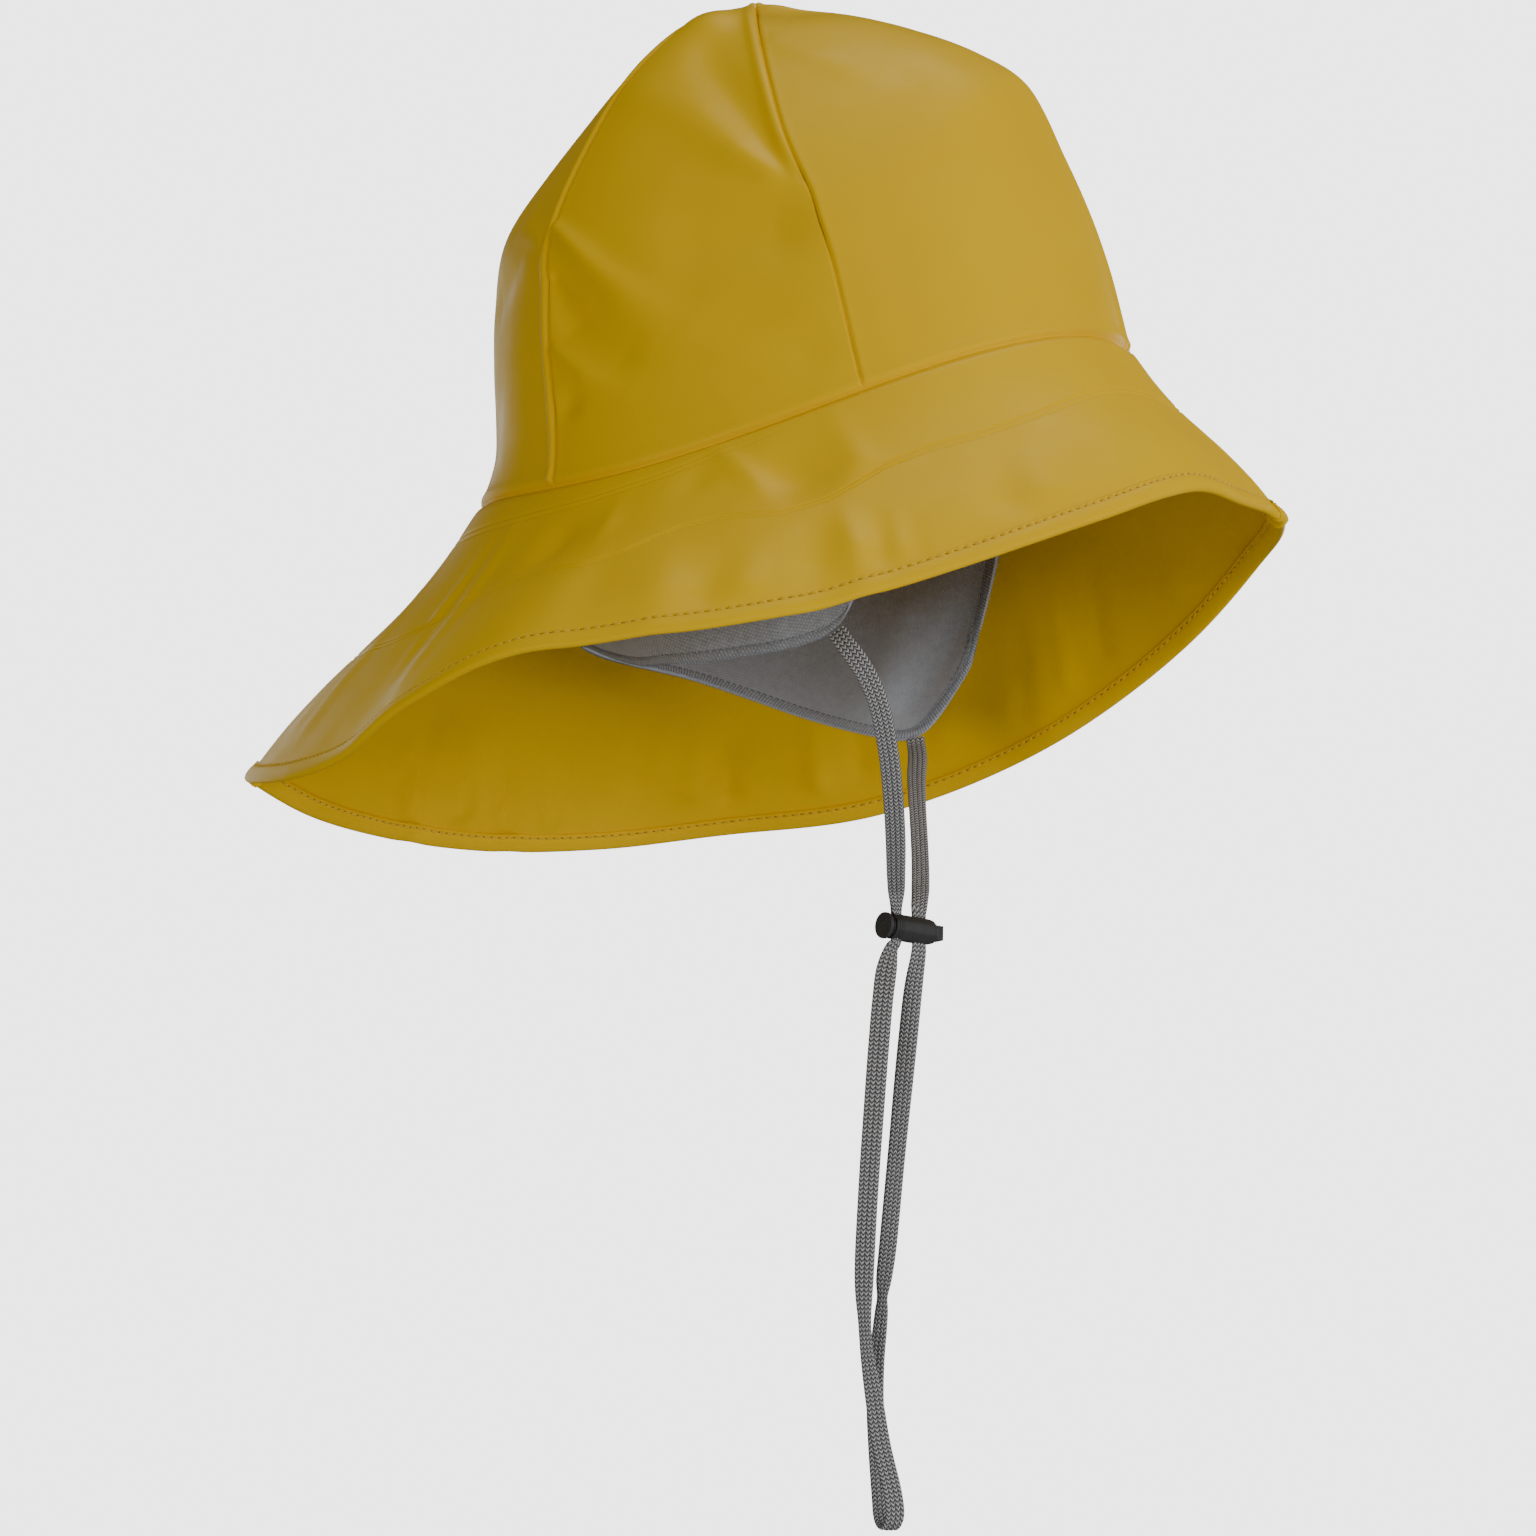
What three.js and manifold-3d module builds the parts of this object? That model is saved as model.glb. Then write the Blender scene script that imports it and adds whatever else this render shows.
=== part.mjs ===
// Sou'wester rain hat: a crown of six panels, a two-piece sloping brim with a bound edge, a fleece flap for
// the ears and neck, and a flat braided chin cord that hangs in one loop through a barrel lock.
// Millimetres, +Z up. The wearer looks along -Y and the wearer's right hand is at -X.
import * as THREE from 'three';
import { mergeVertices } from 'three/addons/utils/BufferGeometryUtils.js';
import Module from 'manifold-3d';

const wasm = await Module();
wasm.setup();

// Cloth
const clothThickness = 1.2;
const seamGap = 0.3;

// The head ring, where crown and brim are sewn together, and how the hat sits on a head
const ringHalfLength = 102;
const ringHalfWidth = 86;
const ringSideDip = 19.5;
const ringRearDip = 9.2;
const hatPitchDegrees = 12;

// Crown
const crownHeight = 138.7;
const apexForward = 13.8;
const panelColumns = 8;

// Brim, measured along its slope
const brimBackLength = 108;
const brimBelly = 2.4;
const brimColumns = 30;
const brimRows = 6;

// Binding folded round the brim's edge
const bindingWidth = 5.5;
const bindingThickness = 0.8;
const bindingRounding = 0.7;

// Fleece flap for ears and neck
const fleeceThickness = 2;
const fleeceSeat = 0.35;
const flapDepth = 85;
const flapBulge = 2.5;
const flapRows = 6;

// Chin cord, a flat braid
const cordWidth = 6;
const cordThickness = 2;
const cordEdgeThickness = 0.9;
const cordShoulder = 0.75;
const cordStep = 8;

// Barrel lock on the cord. Its lengths run along its axis from the face of the press button.
const lockRadius = 3.9;
const lockWall = 1;
const lockBodyStart = 2.8;
const lockBodyLength = 17;
const lockEndWall = 1.4;
const lockEndRounding = 1.1;
const lockMouthRounding = 0.4;
const cordHoleSpacing = 8.7;
const cordHoleFromMouth = 2.4;
const pinchedWidth = 2.4;
const pinchedDepth = 2.8;
const runningClearance = 0.3;
const buttonRadius = 4;
const buttonThickness = 1.3;
const buttonRounding = 0.35;
const pistonRadius = 2.6;
const pressTravel = 1.2;
const tailWidth = 2;
const tailHeight = 4.4;
const tailProjection = 1.3;
const tailRoot = 1;
const roundSides = 28;
const weldDistance = 1e-4;
const lockFace = new THREE.Vector3(-8, -25.2, -153.3);
const lockAxis = new THREE.Vector3(0.767, -0.64, -0.03).normalize();

// Crown seams: angle from the front in degrees, and the columns of crownLevels that each seam follows
const crownSeams = [
  { angle: 0, reach: 'frontReach', rise: 'frontRise', turn: 'centreTurn' },
  { angle: 72, reach: 'templeReach', rise: 'templeRise', turn: 'templeTurn' },
  { angle: 131, reach: 'earReach', rise: 'earRise', turn: 'centreTurn' },
  { angle: 180, reach: 'backReach', rise: 'backRise', turn: 'centreTurn' },
];

// Crown levels from the head ring to the apex. Reach is a share of the distance from the crown's axis to the
// ring, rise is a share of the height from the ring to the apex, turn is how many degrees a seam has drifted
// backwards, and flat is how far a panel's middle falls short of the ring's curve.
const crownTable = `
  frontReach frontRise templeReach templeRise templeTurn earReach earRise backReach backRise centreTurn flat
  1          0         1           0          0          1        0       1         0        0          0
  1          0.085     0.975       0.085      0          0.965    0.085   0.94      0.09     0          0.004
  0.995      0.2       0.945       0.19       0          0.942    0.19    0.915     0.19     0          0.008
  0.974      0.33      0.905       0.285      0          0.92     0.3     0.895     0.31     0          0.014
  0.934      0.47      0.865       0.37       0.5        0.89     0.4     0.866     0.44     0          0.022
  0.87       0.642     0.815       0.45       1          0.853    0.5     0.8       0.6      0          0.03
  0.72       0.75      0.7         0.59       3.5        0.71     0.655   0.65      0.725    0          0.035
  0.51       0.845     0.525       0.745      4.5        0.49     0.835   0.43      0.865    0          0.035
  0.285      0.925     0.31        0.885      5          0.27     0.95    0.24      0.965    0          0.03
  0.09       0.985     0.11        0.97       5          0.09     0.99    0.09      0.998    0          0.015
  0.02       1         0.02        0.998      5          0.02     1       0.02      1.001    0          0
`;
const crownColumns = namedColumns(crownTable);
const topLevel = crownColumns.flat.length - 1;

const crownPanels = [
  { name: 'front', from: 0, to: 1 },
  { name: 'side', from: 1, to: 2 },
  { name: 'back', from: 2, to: 3 },
];

// Brim rows every 15 degrees from front to back. Fan is the plan direction in degrees, length is a share of
// the back's length, and the droops are degrees below the horizontal on the wearer's right and left.
const brimTable = namedColumns(`
  fan    length  rightDroop  leftDroop
  0      0.638   62          62
  12.6   0.625   64.4        58.8
  30.1   0.621   61.9        55.4
  55.1   0.674   63.1        60.6
  81.6   0.732   61.6        61.7
  101.3  0.789   56.5        56.2
  116    0.839   47.7        49.2
  129.6  0.879   39.3        40.7
  144    0.912   40.3        39.6
  158.2  0.946   44          39.8
  169.7  0.975   42.2        39.5
  176.5  0.994   38.3        38.5
  180    1       34.5        34.5
`);

// How far the brim sags below a straight slope, as shares of its belly, in equal steps from seam to edge
const brimSag = [0, 1.1, 1.2, 0.4, -0.4, -0.6, 0];

// Fleece flap from its front edge round to the middle of the neck. Ring is where a column hangs, in degrees
// from the front. The lower edge lies out and back as shares of the ring's half width and half length, and
// down as a share of the flap's depth, on the wearer's right and left.
const flapTable = namedColumns(`
  ring  rightOut  rightBack  rightDown  leftOut  leftBack  leftDown
  60    0.77      -0.12      0.835      0.81     -0.18     0.915
  66    0.735     -0.09      0.9        0.78     -0.08     0.98
  72    0.73      -0.03      0.93       0.755    0         0.995
  80    0.745     0.06       0.945      0.765    0.08      0.955
  90    0.77      0.17       0.945      0.79     0.17      0.895
  103   0.77      0.34       0.92       0.82     0.31      0.79
  118   0.7       0.44       0.88       0.79     0.44      0.69
  133   0.56      0.53       0.825      0.68     0.59      0.59
  150   0.37      0.64       0.72       0.46     0.725     0.54
  165   0.17      0.745      0.6        0.23     0.775     0.54
  180   0         0.785      0.555      0        0.785     0.555
`);

// The cord's route, chosen by hand: from the right flap to the lock, round the hanging loop, and from the
// lock to the left flap
const rightStrand = [
  [-62.9, -22.35, -75.5], [-62.2, -24.6, -79.1], [-60.4, -27.4, -83], [-57.2, -30.2, -88],
  [-52, -32.6, -95.5], [-43, -33.6, -107.2], [-32, -33, -119.5], [-20.5, -31.5, -130.5],
  [-11, -29.8, -138.5], [-5.2, -28.8, -143.5], [-4, -28.5, -147.4], [-4, -28.5, -149],
];
const hangingLoop = [
  [-4, -28.5, -157.9], [-4.1, -28.4, -159.6], [-5.8, -23.9, -175.5], [-6.2, -21.9, -190],
  [-6, -21.1, -206], [-5.4, -19.5, -233], [-4, -17.8, -260], [-3.4, -19, -281],
  [-3.5, -21.3, -295], [-4.2, -24.6, -309], [-4.9, -26.8, -322], [-3.3, -25.7, -328],
  [-0.4, -23.6, -330], [2.6, -21.5, -328], [4, -20.2, -322], [3.5, -19, -309],
  [2.9, -19.2, -295], [3.5, -21.3, -279], [5, -22.7, -256], [6, -26.5, -219],
  [5.8, -30, -186], [2.8, -34, -160], [2.7, -34.1, -158.2],
];
const leftStrand = [
  [2.7, -34.1, -149], [2.8, -34.1, -147.4], [6.4, -33.8, -142.5], [12, -33, -137.5],
  [21, -31.3, -128.5], [31, -29.1, -118], [42, -26.6, -106.5], [52, -24.6, -97.3], [60.6, -23.4, -89.3],
  [64.8, -22.3, -84.9], [65.8, -21.75, -82.2],
];

const degrees = Math.PI / 180;
const rubberYellow = new THREE.MeshStandardMaterial({ color: 0xf0c413, roughness: 0.42, metalness: 0 });
const fleeceGrey = new THREE.MeshStandardMaterial({ color: 0x6f7073, roughness: 0.95, metalness: 0 });
const braidGrey = new THREE.MeshStandardMaterial({ color: 0x858585, roughness: 0.8, metalness: 0 });
const lockBlack = new THREE.MeshStandardMaterial({ color: 0x2a2a2b, roughness: 0.5, metalness: 0 });

// A table's columns by name. Its first line names them.
function namedColumns(table) {
  const [names, ...rows] = table.trim().split('\n').map((line) => line.trim().split(/ +/));
  return Object.fromEntries(names.map((name, index) => [name, rows.map((row) => Number(row[index]))]));
}

function catmullRom(before, from, to, after, share) {
  const square = share * share;
  const cube = square * share;
  return 0.5 * (2 * from + (to - before) * share
    + (2 * before - 5 * from + 4 * to - after) * square
    + (3 * from - before - 3 * to + after) * cube);
}

function openSpline(values, place) {
  const last = values.length - 1;
  const index = Math.min(Math.max(Math.floor(place), 0), last - 1);
  const at = (i) => values[Math.min(Math.max(i, 0), last)];
  return catmullRom(at(index - 1), at(index), at(index + 1), at(index + 2), place - index);
}

function ringSpline(values, angle) {
  const count = values.length;
  const place = (((angle % 360) + 360) % 360) / 360 * count;
  const index = Math.floor(place);
  const at = (i) => values[(i + count) % count];
  return catmullRom(at(index - 1), at(index), at(index + 1), at(index + 2), place - index);
}

// A point of the head ring. Angles run from the front round the wearer's right, the back and the left.
function ringPoint(angle) {
  const sine = Math.sin(angle * degrees);
  const cosine = Math.cos(angle * degrees);
  const height = sine * sine * (ringRearDip * cosine - ringSideDip);
  return new THREE.Vector3(-ringHalfWidth * sine, -ringHalfLength * cosine, height);
}

function crownPoint(angle, level) {
  const turn = ((angle % 360) + 360) % 360;
  const fromFront = turn > 180 ? 360 - turn : turn;
  const panel = crownPanels.findIndex((each) => fromFront <= crownSeams[each.to].angle);
  const near = crownSeams[crownPanels[panel].from];
  const far = crownSeams[crownPanels[panel].to];
  const across = (fromFront - near.angle) / (far.angle - near.angle);
  const blend = (1 - Math.cos(Math.PI * across)) / 2;
  const between = (column) => openSpline(crownColumns[near[column]], level) * (1 - blend)
    + openSpline(crownColumns[far[column]], level) * blend;
  const flat = openSpline(crownColumns.flat, level) * Math.sin(Math.PI * across);
  const reach = between('reach') * (1 - flat);
  const drift = between('turn');
  const base = ringPoint(turn > 180 ? angle - drift : angle + drift);
  return new THREE.Vector3(
    base.x * reach,
    -apexForward + (base.y + apexForward) * reach,
    base.z + (crownHeight - base.z) * between('rise'),
  );
}

const roundTrip = (right, left) => [...right, ...left.slice(1, -1).reverse()];
const brimFan = roundTrip(brimTable.fan, brimTable.fan.map((fan) => 360 - fan));
const brimLength = roundTrip(brimTable.length, brimTable.length);
const brimDroop = roundTrip(brimTable.rightDroop, brimTable.leftDroop);
const fanSpread = brimFan.map((fan, index) => fan - index * 360 / brimFan.length);

function brimPoint(angle, share) {
  const fan = (angle + ringSpline(fanSpread, angle)) * degrees;
  const droop = ringSpline(brimDroop, angle) * degrees;
  const length = ringSpline(brimLength, angle) * brimBackLength;
  const along = share * length * Math.cos(droop);
  const sag = brimBelly * openSpline(brimSag, share * (brimSag.length - 1));
  const down = share * length * Math.sin(droop) + sag;
  return ringPoint(angle).add(new THREE.Vector3(-along * Math.sin(fan), -along * Math.cos(fan), -down));
}

// The unit directions of a surface at a point: along its angle, along its share, and out of the cloth
function directions(surface, angle, share, lowest, highest, outward) {
  const angleStep = 0.5;
  const shareStep = 0.02 * (highest - lowest);
  const along = surface(angle + angleStep, share).sub(surface(angle - angleStep, share)).normalize();
  const low = Math.max(share - shareStep, lowest);
  const high = Math.min(share + shareStep, highest);
  const across = surface(angle, high).sub(surface(angle, low)).normalize();
  const out = new THREE.Vector3().crossVectors(along, across).normalize().multiplyScalar(outward);
  return { along, across, out };
}

const crownDirections = (angle, level) => directions(crownPoint, angle, level, 0, topLevel, -1);
const brimDirections = (angle, share) => directions(brimPoint, angle, share, 0, 1, 1);

// The direction through the cloth that crown and brim share where they are sewn together
function seamOut(angle) {
  return crownDirections(angle, 0).out.add(brimDirections(angle, 0).out).normalize();
}

function closedGeometry(points, triangles) {
  let volume = 0;
  for (const [a, b, c] of triangles) {
    volume += points[a].dot(new THREE.Vector3().crossVectors(points[b], points[c]));
  }
  const facing = volume < 0 ? triangles.map(([a, b, c]) => [a, c, b]) : triangles;
  const geometry = new THREE.BufferGeometry();
  geometry.setAttribute('position', new THREE.Float32BufferAttribute(points.flatMap((p) => p.toArray()), 3));
  geometry.setIndex(facing.flat());
  geometry.computeVertexNormals();
  return geometry;
}

// A wall of cloth. layer(i, j) gives the two faces' points for row i and column j.
function clothWall(rows, columns, layer) {
  const points = [];
  for (let i = 0; i <= rows; i += 1) {
    for (let j = 0; j <= columns; j += 1) {
      points.push(...layer(i, j));
    }
  }
  const at = (i, j, face) => 2 * (i * (columns + 1) + j) + face;
  const triangles = [];
  const quad = (a, b, c, d) => triangles.push([a, b, c], [a, c, d]);
  for (let i = 0; i < rows; i += 1) {
    for (let j = 0; j < columns; j += 1) {
      quad(at(i, j, 0), at(i, j + 1, 0), at(i + 1, j + 1, 0), at(i + 1, j, 0));
      quad(at(i, j, 1), at(i + 1, j, 1), at(i + 1, j + 1, 1), at(i, j + 1, 1));
    }
    quad(at(i, 0, 0), at(i + 1, 0, 0), at(i + 1, 0, 1), at(i, 0, 1));
    quad(at(i, columns, 0), at(i, columns, 1), at(i + 1, columns, 1), at(i + 1, columns, 0));
  }
  for (let j = 0; j < columns; j += 1) {
    quad(at(0, j, 0), at(0, j, 1), at(0, j + 1, 1), at(0, j + 1, 0));
    quad(at(rows, j, 0), at(rows, j + 1, 0), at(rows, j + 1, 1), at(rows, j, 1));
  }
  return closedGeometry(points, triangles);
}

// Half a seam's gap, towards the inside of a piece, on the piece's first and last column
function sideShift(column, columns, inward) {
  const facing = column === 0 ? 1 : column === columns ? -1 : 0;
  return inward.clone().multiplyScalar(facing * seamGap / 2);
}

function crownPanel(panel, mirrored) {
  const start = crownSeams[panel.from].angle;
  const span = crownSeams[panel.to].angle - start;
  return clothWall(topLevel, panelColumns, (level, column) => {
    const fromFront = start + span * column / panelColumns;
    const angle = mirrored ? 360 - fromFront : fromFront;
    const { along, across, out } = crownDirections(angle, level);
    const through = level === 0 ? seamOut(angle) : out;
    const inward = new THREE.Vector3().crossVectors(through, across).normalize();
    const shift = sideShift(column, panelColumns, inward.multiplyScalar(mirrored ? -1 : 1));
    if (level === 0) {
      shift.addScaledVector(new THREE.Vector3().crossVectors(along, through).normalize(), seamGap / 2);
    }
    const face = crownPoint(angle, level).add(shift);
    return [face, face.clone().addScaledVector(through, -clothThickness)];
  });
}

function brimHalf(mirrored) {
  return clothWall(brimRows, brimColumns, (row, column) => {
    const fromFront = 180 * column / brimColumns;
    const angle = mirrored ? 360 - fromFront : fromFront;
    const share = row / brimRows;
    const { along, across, out } = brimDirections(angle, share);
    const through = row === 0 ? seamOut(angle) : out;
    const inward = new THREE.Vector3().crossVectors(across, through).normalize();
    const shift = sideShift(column, brimColumns, inward.multiplyScalar(mirrored ? -1 : 1));
    if (row === 0) {
      shift.addScaledVector(new THREE.Vector3().crossVectors(through, along).normalize(), seamGap / 2);
    }
    const face = brimPoint(angle, share).add(shift);
    return [face, face.clone().addScaledVector(through, -clothThickness)];
  });
}

// The binding is a channel round the edge: its section is a U that the brim's edge stands in.
function brimBinding() {
  const inside = clothThickness / 2 + seamGap;
  const outside = inside + bindingThickness;
  const web = seamGap + bindingThickness;
  const section = [
    [-bindingWidth, -outside], [web - bindingRounding, -outside], [web, bindingRounding - outside],
    [web, outside - bindingRounding], [web - bindingRounding, outside], [-bindingWidth, outside],
    [-bindingWidth, inside], [seamGap, inside], [seamGap, -inside], [-bindingWidth, -inside],
  ];
  const bindingSections = 2 * brimColumns;
  const points = [];
  const triangles = [];
  for (let step = 0; step < bindingSections; step += 1) {
    const angle = 360 * step / bindingSections;
    const { along, out } = brimDirections(angle, 1);
    const away = new THREE.Vector3().crossVectors(out, along).normalize();
    const edge = brimPoint(angle, 1).addScaledVector(out, -clothThickness / 2);
    for (let corner = 0; corner < section.length; corner += 1) {
      const [beyond, above] = section[corner];
      points.push(edge.clone().addScaledVector(away, beyond).addScaledVector(out, above));
      const next = (corner + 1) % section.length;
      const here = step * section.length;
      const there = ((step + 1) % bindingSections) * section.length;
      triangles.push([here + corner, there + corner, there + next]);
      triangles.push([here + corner, there + next, here + next]);
    }
  }
  return closedGeometry(points, triangles);
}

// The middle of the fleece. Columns run from the right front edge round the neck to the left front edge.
function flapPoint(column, share) {
  const middle = flapTable.ring.length - 1;
  const right = column <= middle;
  const row = right ? column : 2 * middle - column;
  const side = right ? 'right' : 'left';
  const [outShare, backShare, downShare] = ['Out', 'Back', 'Down'].map((name) => flapTable[side + name][row]);
  const angle = right ? flapTable.ring[row] : 360 - flapTable.ring[row];
  const depthFromRing = clothThickness + fleeceSeat + fleeceThickness / 2;
  const top = ringPoint(angle).addScaledVector(seamOut(angle), -depthFromRing);
  const out = (right ? -1 : 1) * outShare * ringHalfWidth;
  const low = new THREE.Vector3(out, backShare * ringHalfLength, -downShare * flapDepth);
  const bulge = new THREE.Vector3(top.x, top.y, 0).setLength(flapBulge * Math.sin(Math.PI * share));
  return top.clone().lerp(low, share).add(bulge);
}

function fleeceFlap() {
  const columns = 2 * (flapTable.ring.length - 1);
  return clothWall(flapRows, columns, (row, column) => {
    const share = row / flapRows;
    const before = Math.max(column - 1, 0);
    const after = Math.min(column + 1, columns);
    const along = flapPoint(after, share).sub(flapPoint(before, share));
    const high = Math.max(share - 1 / flapRows, 0);
    const low = Math.min(share + 1 / flapRows, 1);
    const across = flapPoint(column, low).sub(flapPoint(column, high));
    const out = new THREE.Vector3().crossVectors(along, across).normalize();
    const middle = flapPoint(column, share);
    return [
      middle.clone().addScaledVector(out, fleeceThickness / 2),
      middle.clone().addScaledVector(out, -fleeceThickness / 2),
    ];
  });
}

// A closed outline with eight corners, wide along the first axis and turned by roll
function cordOutline(width, thickness, edge, rollDegrees) {
  const shoulder = width / 2 * cordShoulder;
  const corners = [
    [width / 2, edge / 2], [shoulder, thickness / 2], [-shoulder, thickness / 2], [-width / 2, edge / 2],
    [-width / 2, -edge / 2], [-shoulder, -thickness / 2], [shoulder, -thickness / 2], [width / 2, -edge / 2],
  ];
  const roll = rollDegrees * degrees;
  return new THREE.Shape(corners.map(([x, y]) => new THREE.Vector2(
    x * Math.cos(roll) - y * Math.sin(roll),
    x * Math.sin(roll) + y * Math.cos(roll),
  )));
}

function cordTube(route, outline) {
  const curve = new THREE.CatmullRomCurve3(route.map((point) => new THREE.Vector3(...point)));
  const steps = Math.max(2, Math.round(curve.getLength() / cordStep));
  return new THREE.ExtrudeGeometry(outline, { steps, bevelEnabled: false, extrudePath: curve });
}

function toSolid(geometry) {
  geometry.deleteAttribute('normal');
  geometry.deleteAttribute('uv');
  const merged = mergeVertices(geometry, weldDistance);
  return new wasm.Manifold(new wasm.Mesh({
    numProp: 3,
    vertProperties: new Float32Array(merged.attributes.position.array),
    triVerts: new Uint32Array(merged.index.array),
  }));
}

function toGeometry(solid) {
  const mesh = solid.getMesh();
  const geometry = new THREE.BufferGeometry();
  geometry.setAttribute('position', new THREE.Float32BufferAttribute(Array.from(mesh.vertProperties), 3));
  geometry.setIndex(Array.from(mesh.triVerts));
  geometry.computeVertexNormals();
  return geometry;
}

// A turned solid whose axis is the lock's axis, local X
function turned(profile) {
  const points = profile.map(([radius, along]) => new THREE.Vector2(radius, along));
  return toSolid(new THREE.LatheGeometry(points, roundSides).rotateZ(-Math.PI / 2));
}

function block(from, to, width, height) {
  const geometry = new THREE.BoxGeometry(to - from, width, height);
  return toSolid(geometry.translate((from + to) / 2, 0, 0));
}

const lockBodyEnd = lockBodyStart + lockBodyLength;
const cordHoles = [lockBodyStart + cordHoleFromMouth, lockBodyStart + cordHoleFromMouth + cordHoleSpacing];
const holeLength = pinchedWidth + 2 * runningClearance;
const holeWidth = pinchedDepth + 2 * runningClearance;
const throughLock = 4 * lockRadius;

function lockBody() {
  const bore = lockRadius - lockWall;
  const inset = lockEndRounding * (1 - Math.SQRT1_2);
  const floor = lockBodyEnd - lockEndWall;
  let body = turned([
    [0, lockBodyEnd], [0, floor], [bore, floor], [bore, lockBodyStart],
    [lockRadius - lockMouthRounding, lockBodyStart], [lockRadius, lockBodyStart + lockMouthRounding],
    [lockRadius, lockBodyEnd - lockEndRounding], [lockRadius - inset, lockBodyEnd - inset],
    [lockRadius - lockEndRounding, lockBodyEnd], [0, lockBodyEnd],
  ]);
  for (const hole of cordHoles) {
    body = body.subtract(block(hole - holeLength / 2, hole + holeLength / 2, holeWidth, throughLock));
  }
  const tailHole = [tailWidth + 2 * runningClearance, tailHeight + 2 * runningClearance];
  return toGeometry(body.subtract(block(floor - lockEndWall, lockBodyEnd + lockEndWall, ...tailHole)));
}

function lockPlunger() {
  const pistonEnd = lockBodyEnd - lockEndWall - pressTravel - runningClearance;
  let plunger = turned([
    [0, 0], [buttonRadius - buttonRounding, 0], [buttonRadius, buttonRounding],
    [buttonRadius, buttonThickness], [pistonRadius, buttonThickness],
    [pistonRadius, pistonEnd], [0, pistonEnd],
  ]);
  for (const hole of cordHoles) {
    const slotStart = hole - holeLength / 2 - pressTravel;
    plunger = plunger.subtract(block(slotStart, hole + holeLength / 2, holeWidth, throughLock));
  }
  const tail = block(pistonEnd - tailRoot, lockBodyEnd + tailProjection, tailWidth, tailHeight);
  return toGeometry(plunger.add(tail));
}

function named(name, geometry, material) {
  const mesh = new THREE.Mesh(geometry, material);
  mesh.name = name;
  return mesh;
}

const hat = new THREE.Group();
for (const panel of crownPanels) {
  hat.add(named(`crown_${panel.name}_right`, crownPanel(panel, false), rubberYellow));
  hat.add(named(`crown_${panel.name}_left`, crownPanel(panel, true), rubberYellow));
}
hat.add(named('brim_right', brimHalf(false), rubberYellow));
hat.add(named('brim_left', brimHalf(true), rubberYellow));
hat.add(named('brim_binding', brimBinding(), rubberYellow));
hat.add(named('ear_neck_flap', fleeceFlap(), fleeceGrey));
hat.rotation.x = -hatPitchDegrees * degrees;

const chinCord = new THREE.Group();
const flatBraid = (roll) => cordOutline(cordWidth, cordThickness, cordEdgeThickness, roll);
chinCord.add(named('chin_cord_right', cordTube(rightStrand, flatBraid(90)), braidGrey));
chinCord.add(named('chin_cord_loop', cordTube(hangingLoop, flatBraid(0)), braidGrey));
chinCord.add(named('chin_cord_left', cordTube(leftStrand, flatBraid(0)), braidGrey));

const lock = new THREE.Group();
lock.position.copy(lockFace);
const lockSide = new THREE.Vector3(0, 0, 1).cross(lockAxis).normalize();
const lockUp = new THREE.Vector3().crossVectors(lockAxis, lockSide);
lock.quaternion.setFromRotationMatrix(new THREE.Matrix4().makeBasis(lockAxis, lockSide, lockUp));
lock.add(named('cord_lock_body', lockBody(), lockBlack));
lock.add(named('cord_lock_plunger', lockPlunger(), lockBlack));

const pinchedHeight = 2 * lockRadius + runningClearance;
cordHoles.forEach((hole, index) => {
  const geometry = new THREE.BoxGeometry(pinchedWidth, pinchedDepth, pinchedHeight);
  const pinched = named(`chin_cord_in_lock_${index + 1}`, geometry, braidGrey);
  pinched.position.x = hole;
  lock.add(pinched);
});

const souwester = new THREE.Group();
souwester.add(hat, chinCord, lock);
export default souwester;
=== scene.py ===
"""Looks of a sou'wester rain hat: six crown panels, a sloping brim with a stitched binding, a fleece flap for
ears and neck, and a flat braided chin cord in a barrel lock.

Lengths are millimetres until a mesh is made. The wearer looks along -Y and the wearer's right is at -X.
"""

import math

import bpy
import numpy as np
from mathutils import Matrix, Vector


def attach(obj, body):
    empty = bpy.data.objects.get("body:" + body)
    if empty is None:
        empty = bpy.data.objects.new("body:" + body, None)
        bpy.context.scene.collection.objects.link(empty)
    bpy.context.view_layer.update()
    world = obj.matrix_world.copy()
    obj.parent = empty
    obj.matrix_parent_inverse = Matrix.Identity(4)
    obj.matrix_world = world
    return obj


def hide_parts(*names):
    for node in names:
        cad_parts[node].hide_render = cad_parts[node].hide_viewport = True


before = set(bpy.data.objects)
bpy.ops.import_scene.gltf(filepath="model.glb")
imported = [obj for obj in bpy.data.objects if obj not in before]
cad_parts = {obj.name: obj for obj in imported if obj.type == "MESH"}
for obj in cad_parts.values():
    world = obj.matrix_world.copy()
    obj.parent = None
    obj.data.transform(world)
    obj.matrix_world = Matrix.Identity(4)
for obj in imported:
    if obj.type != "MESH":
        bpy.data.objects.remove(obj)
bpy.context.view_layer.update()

MM = 0.001
HAT = "hat"
PLUNGER = "plunger"

# Camera: where it stands and what it looks at, in metres
CAMERA_PLACE = (-1.5363, -0.3151, -0.4080)
CAMERA_AIM = (0.0, 0.01144, -0.10274)
LENS = 124.14
SENSOR = 36.0

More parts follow.
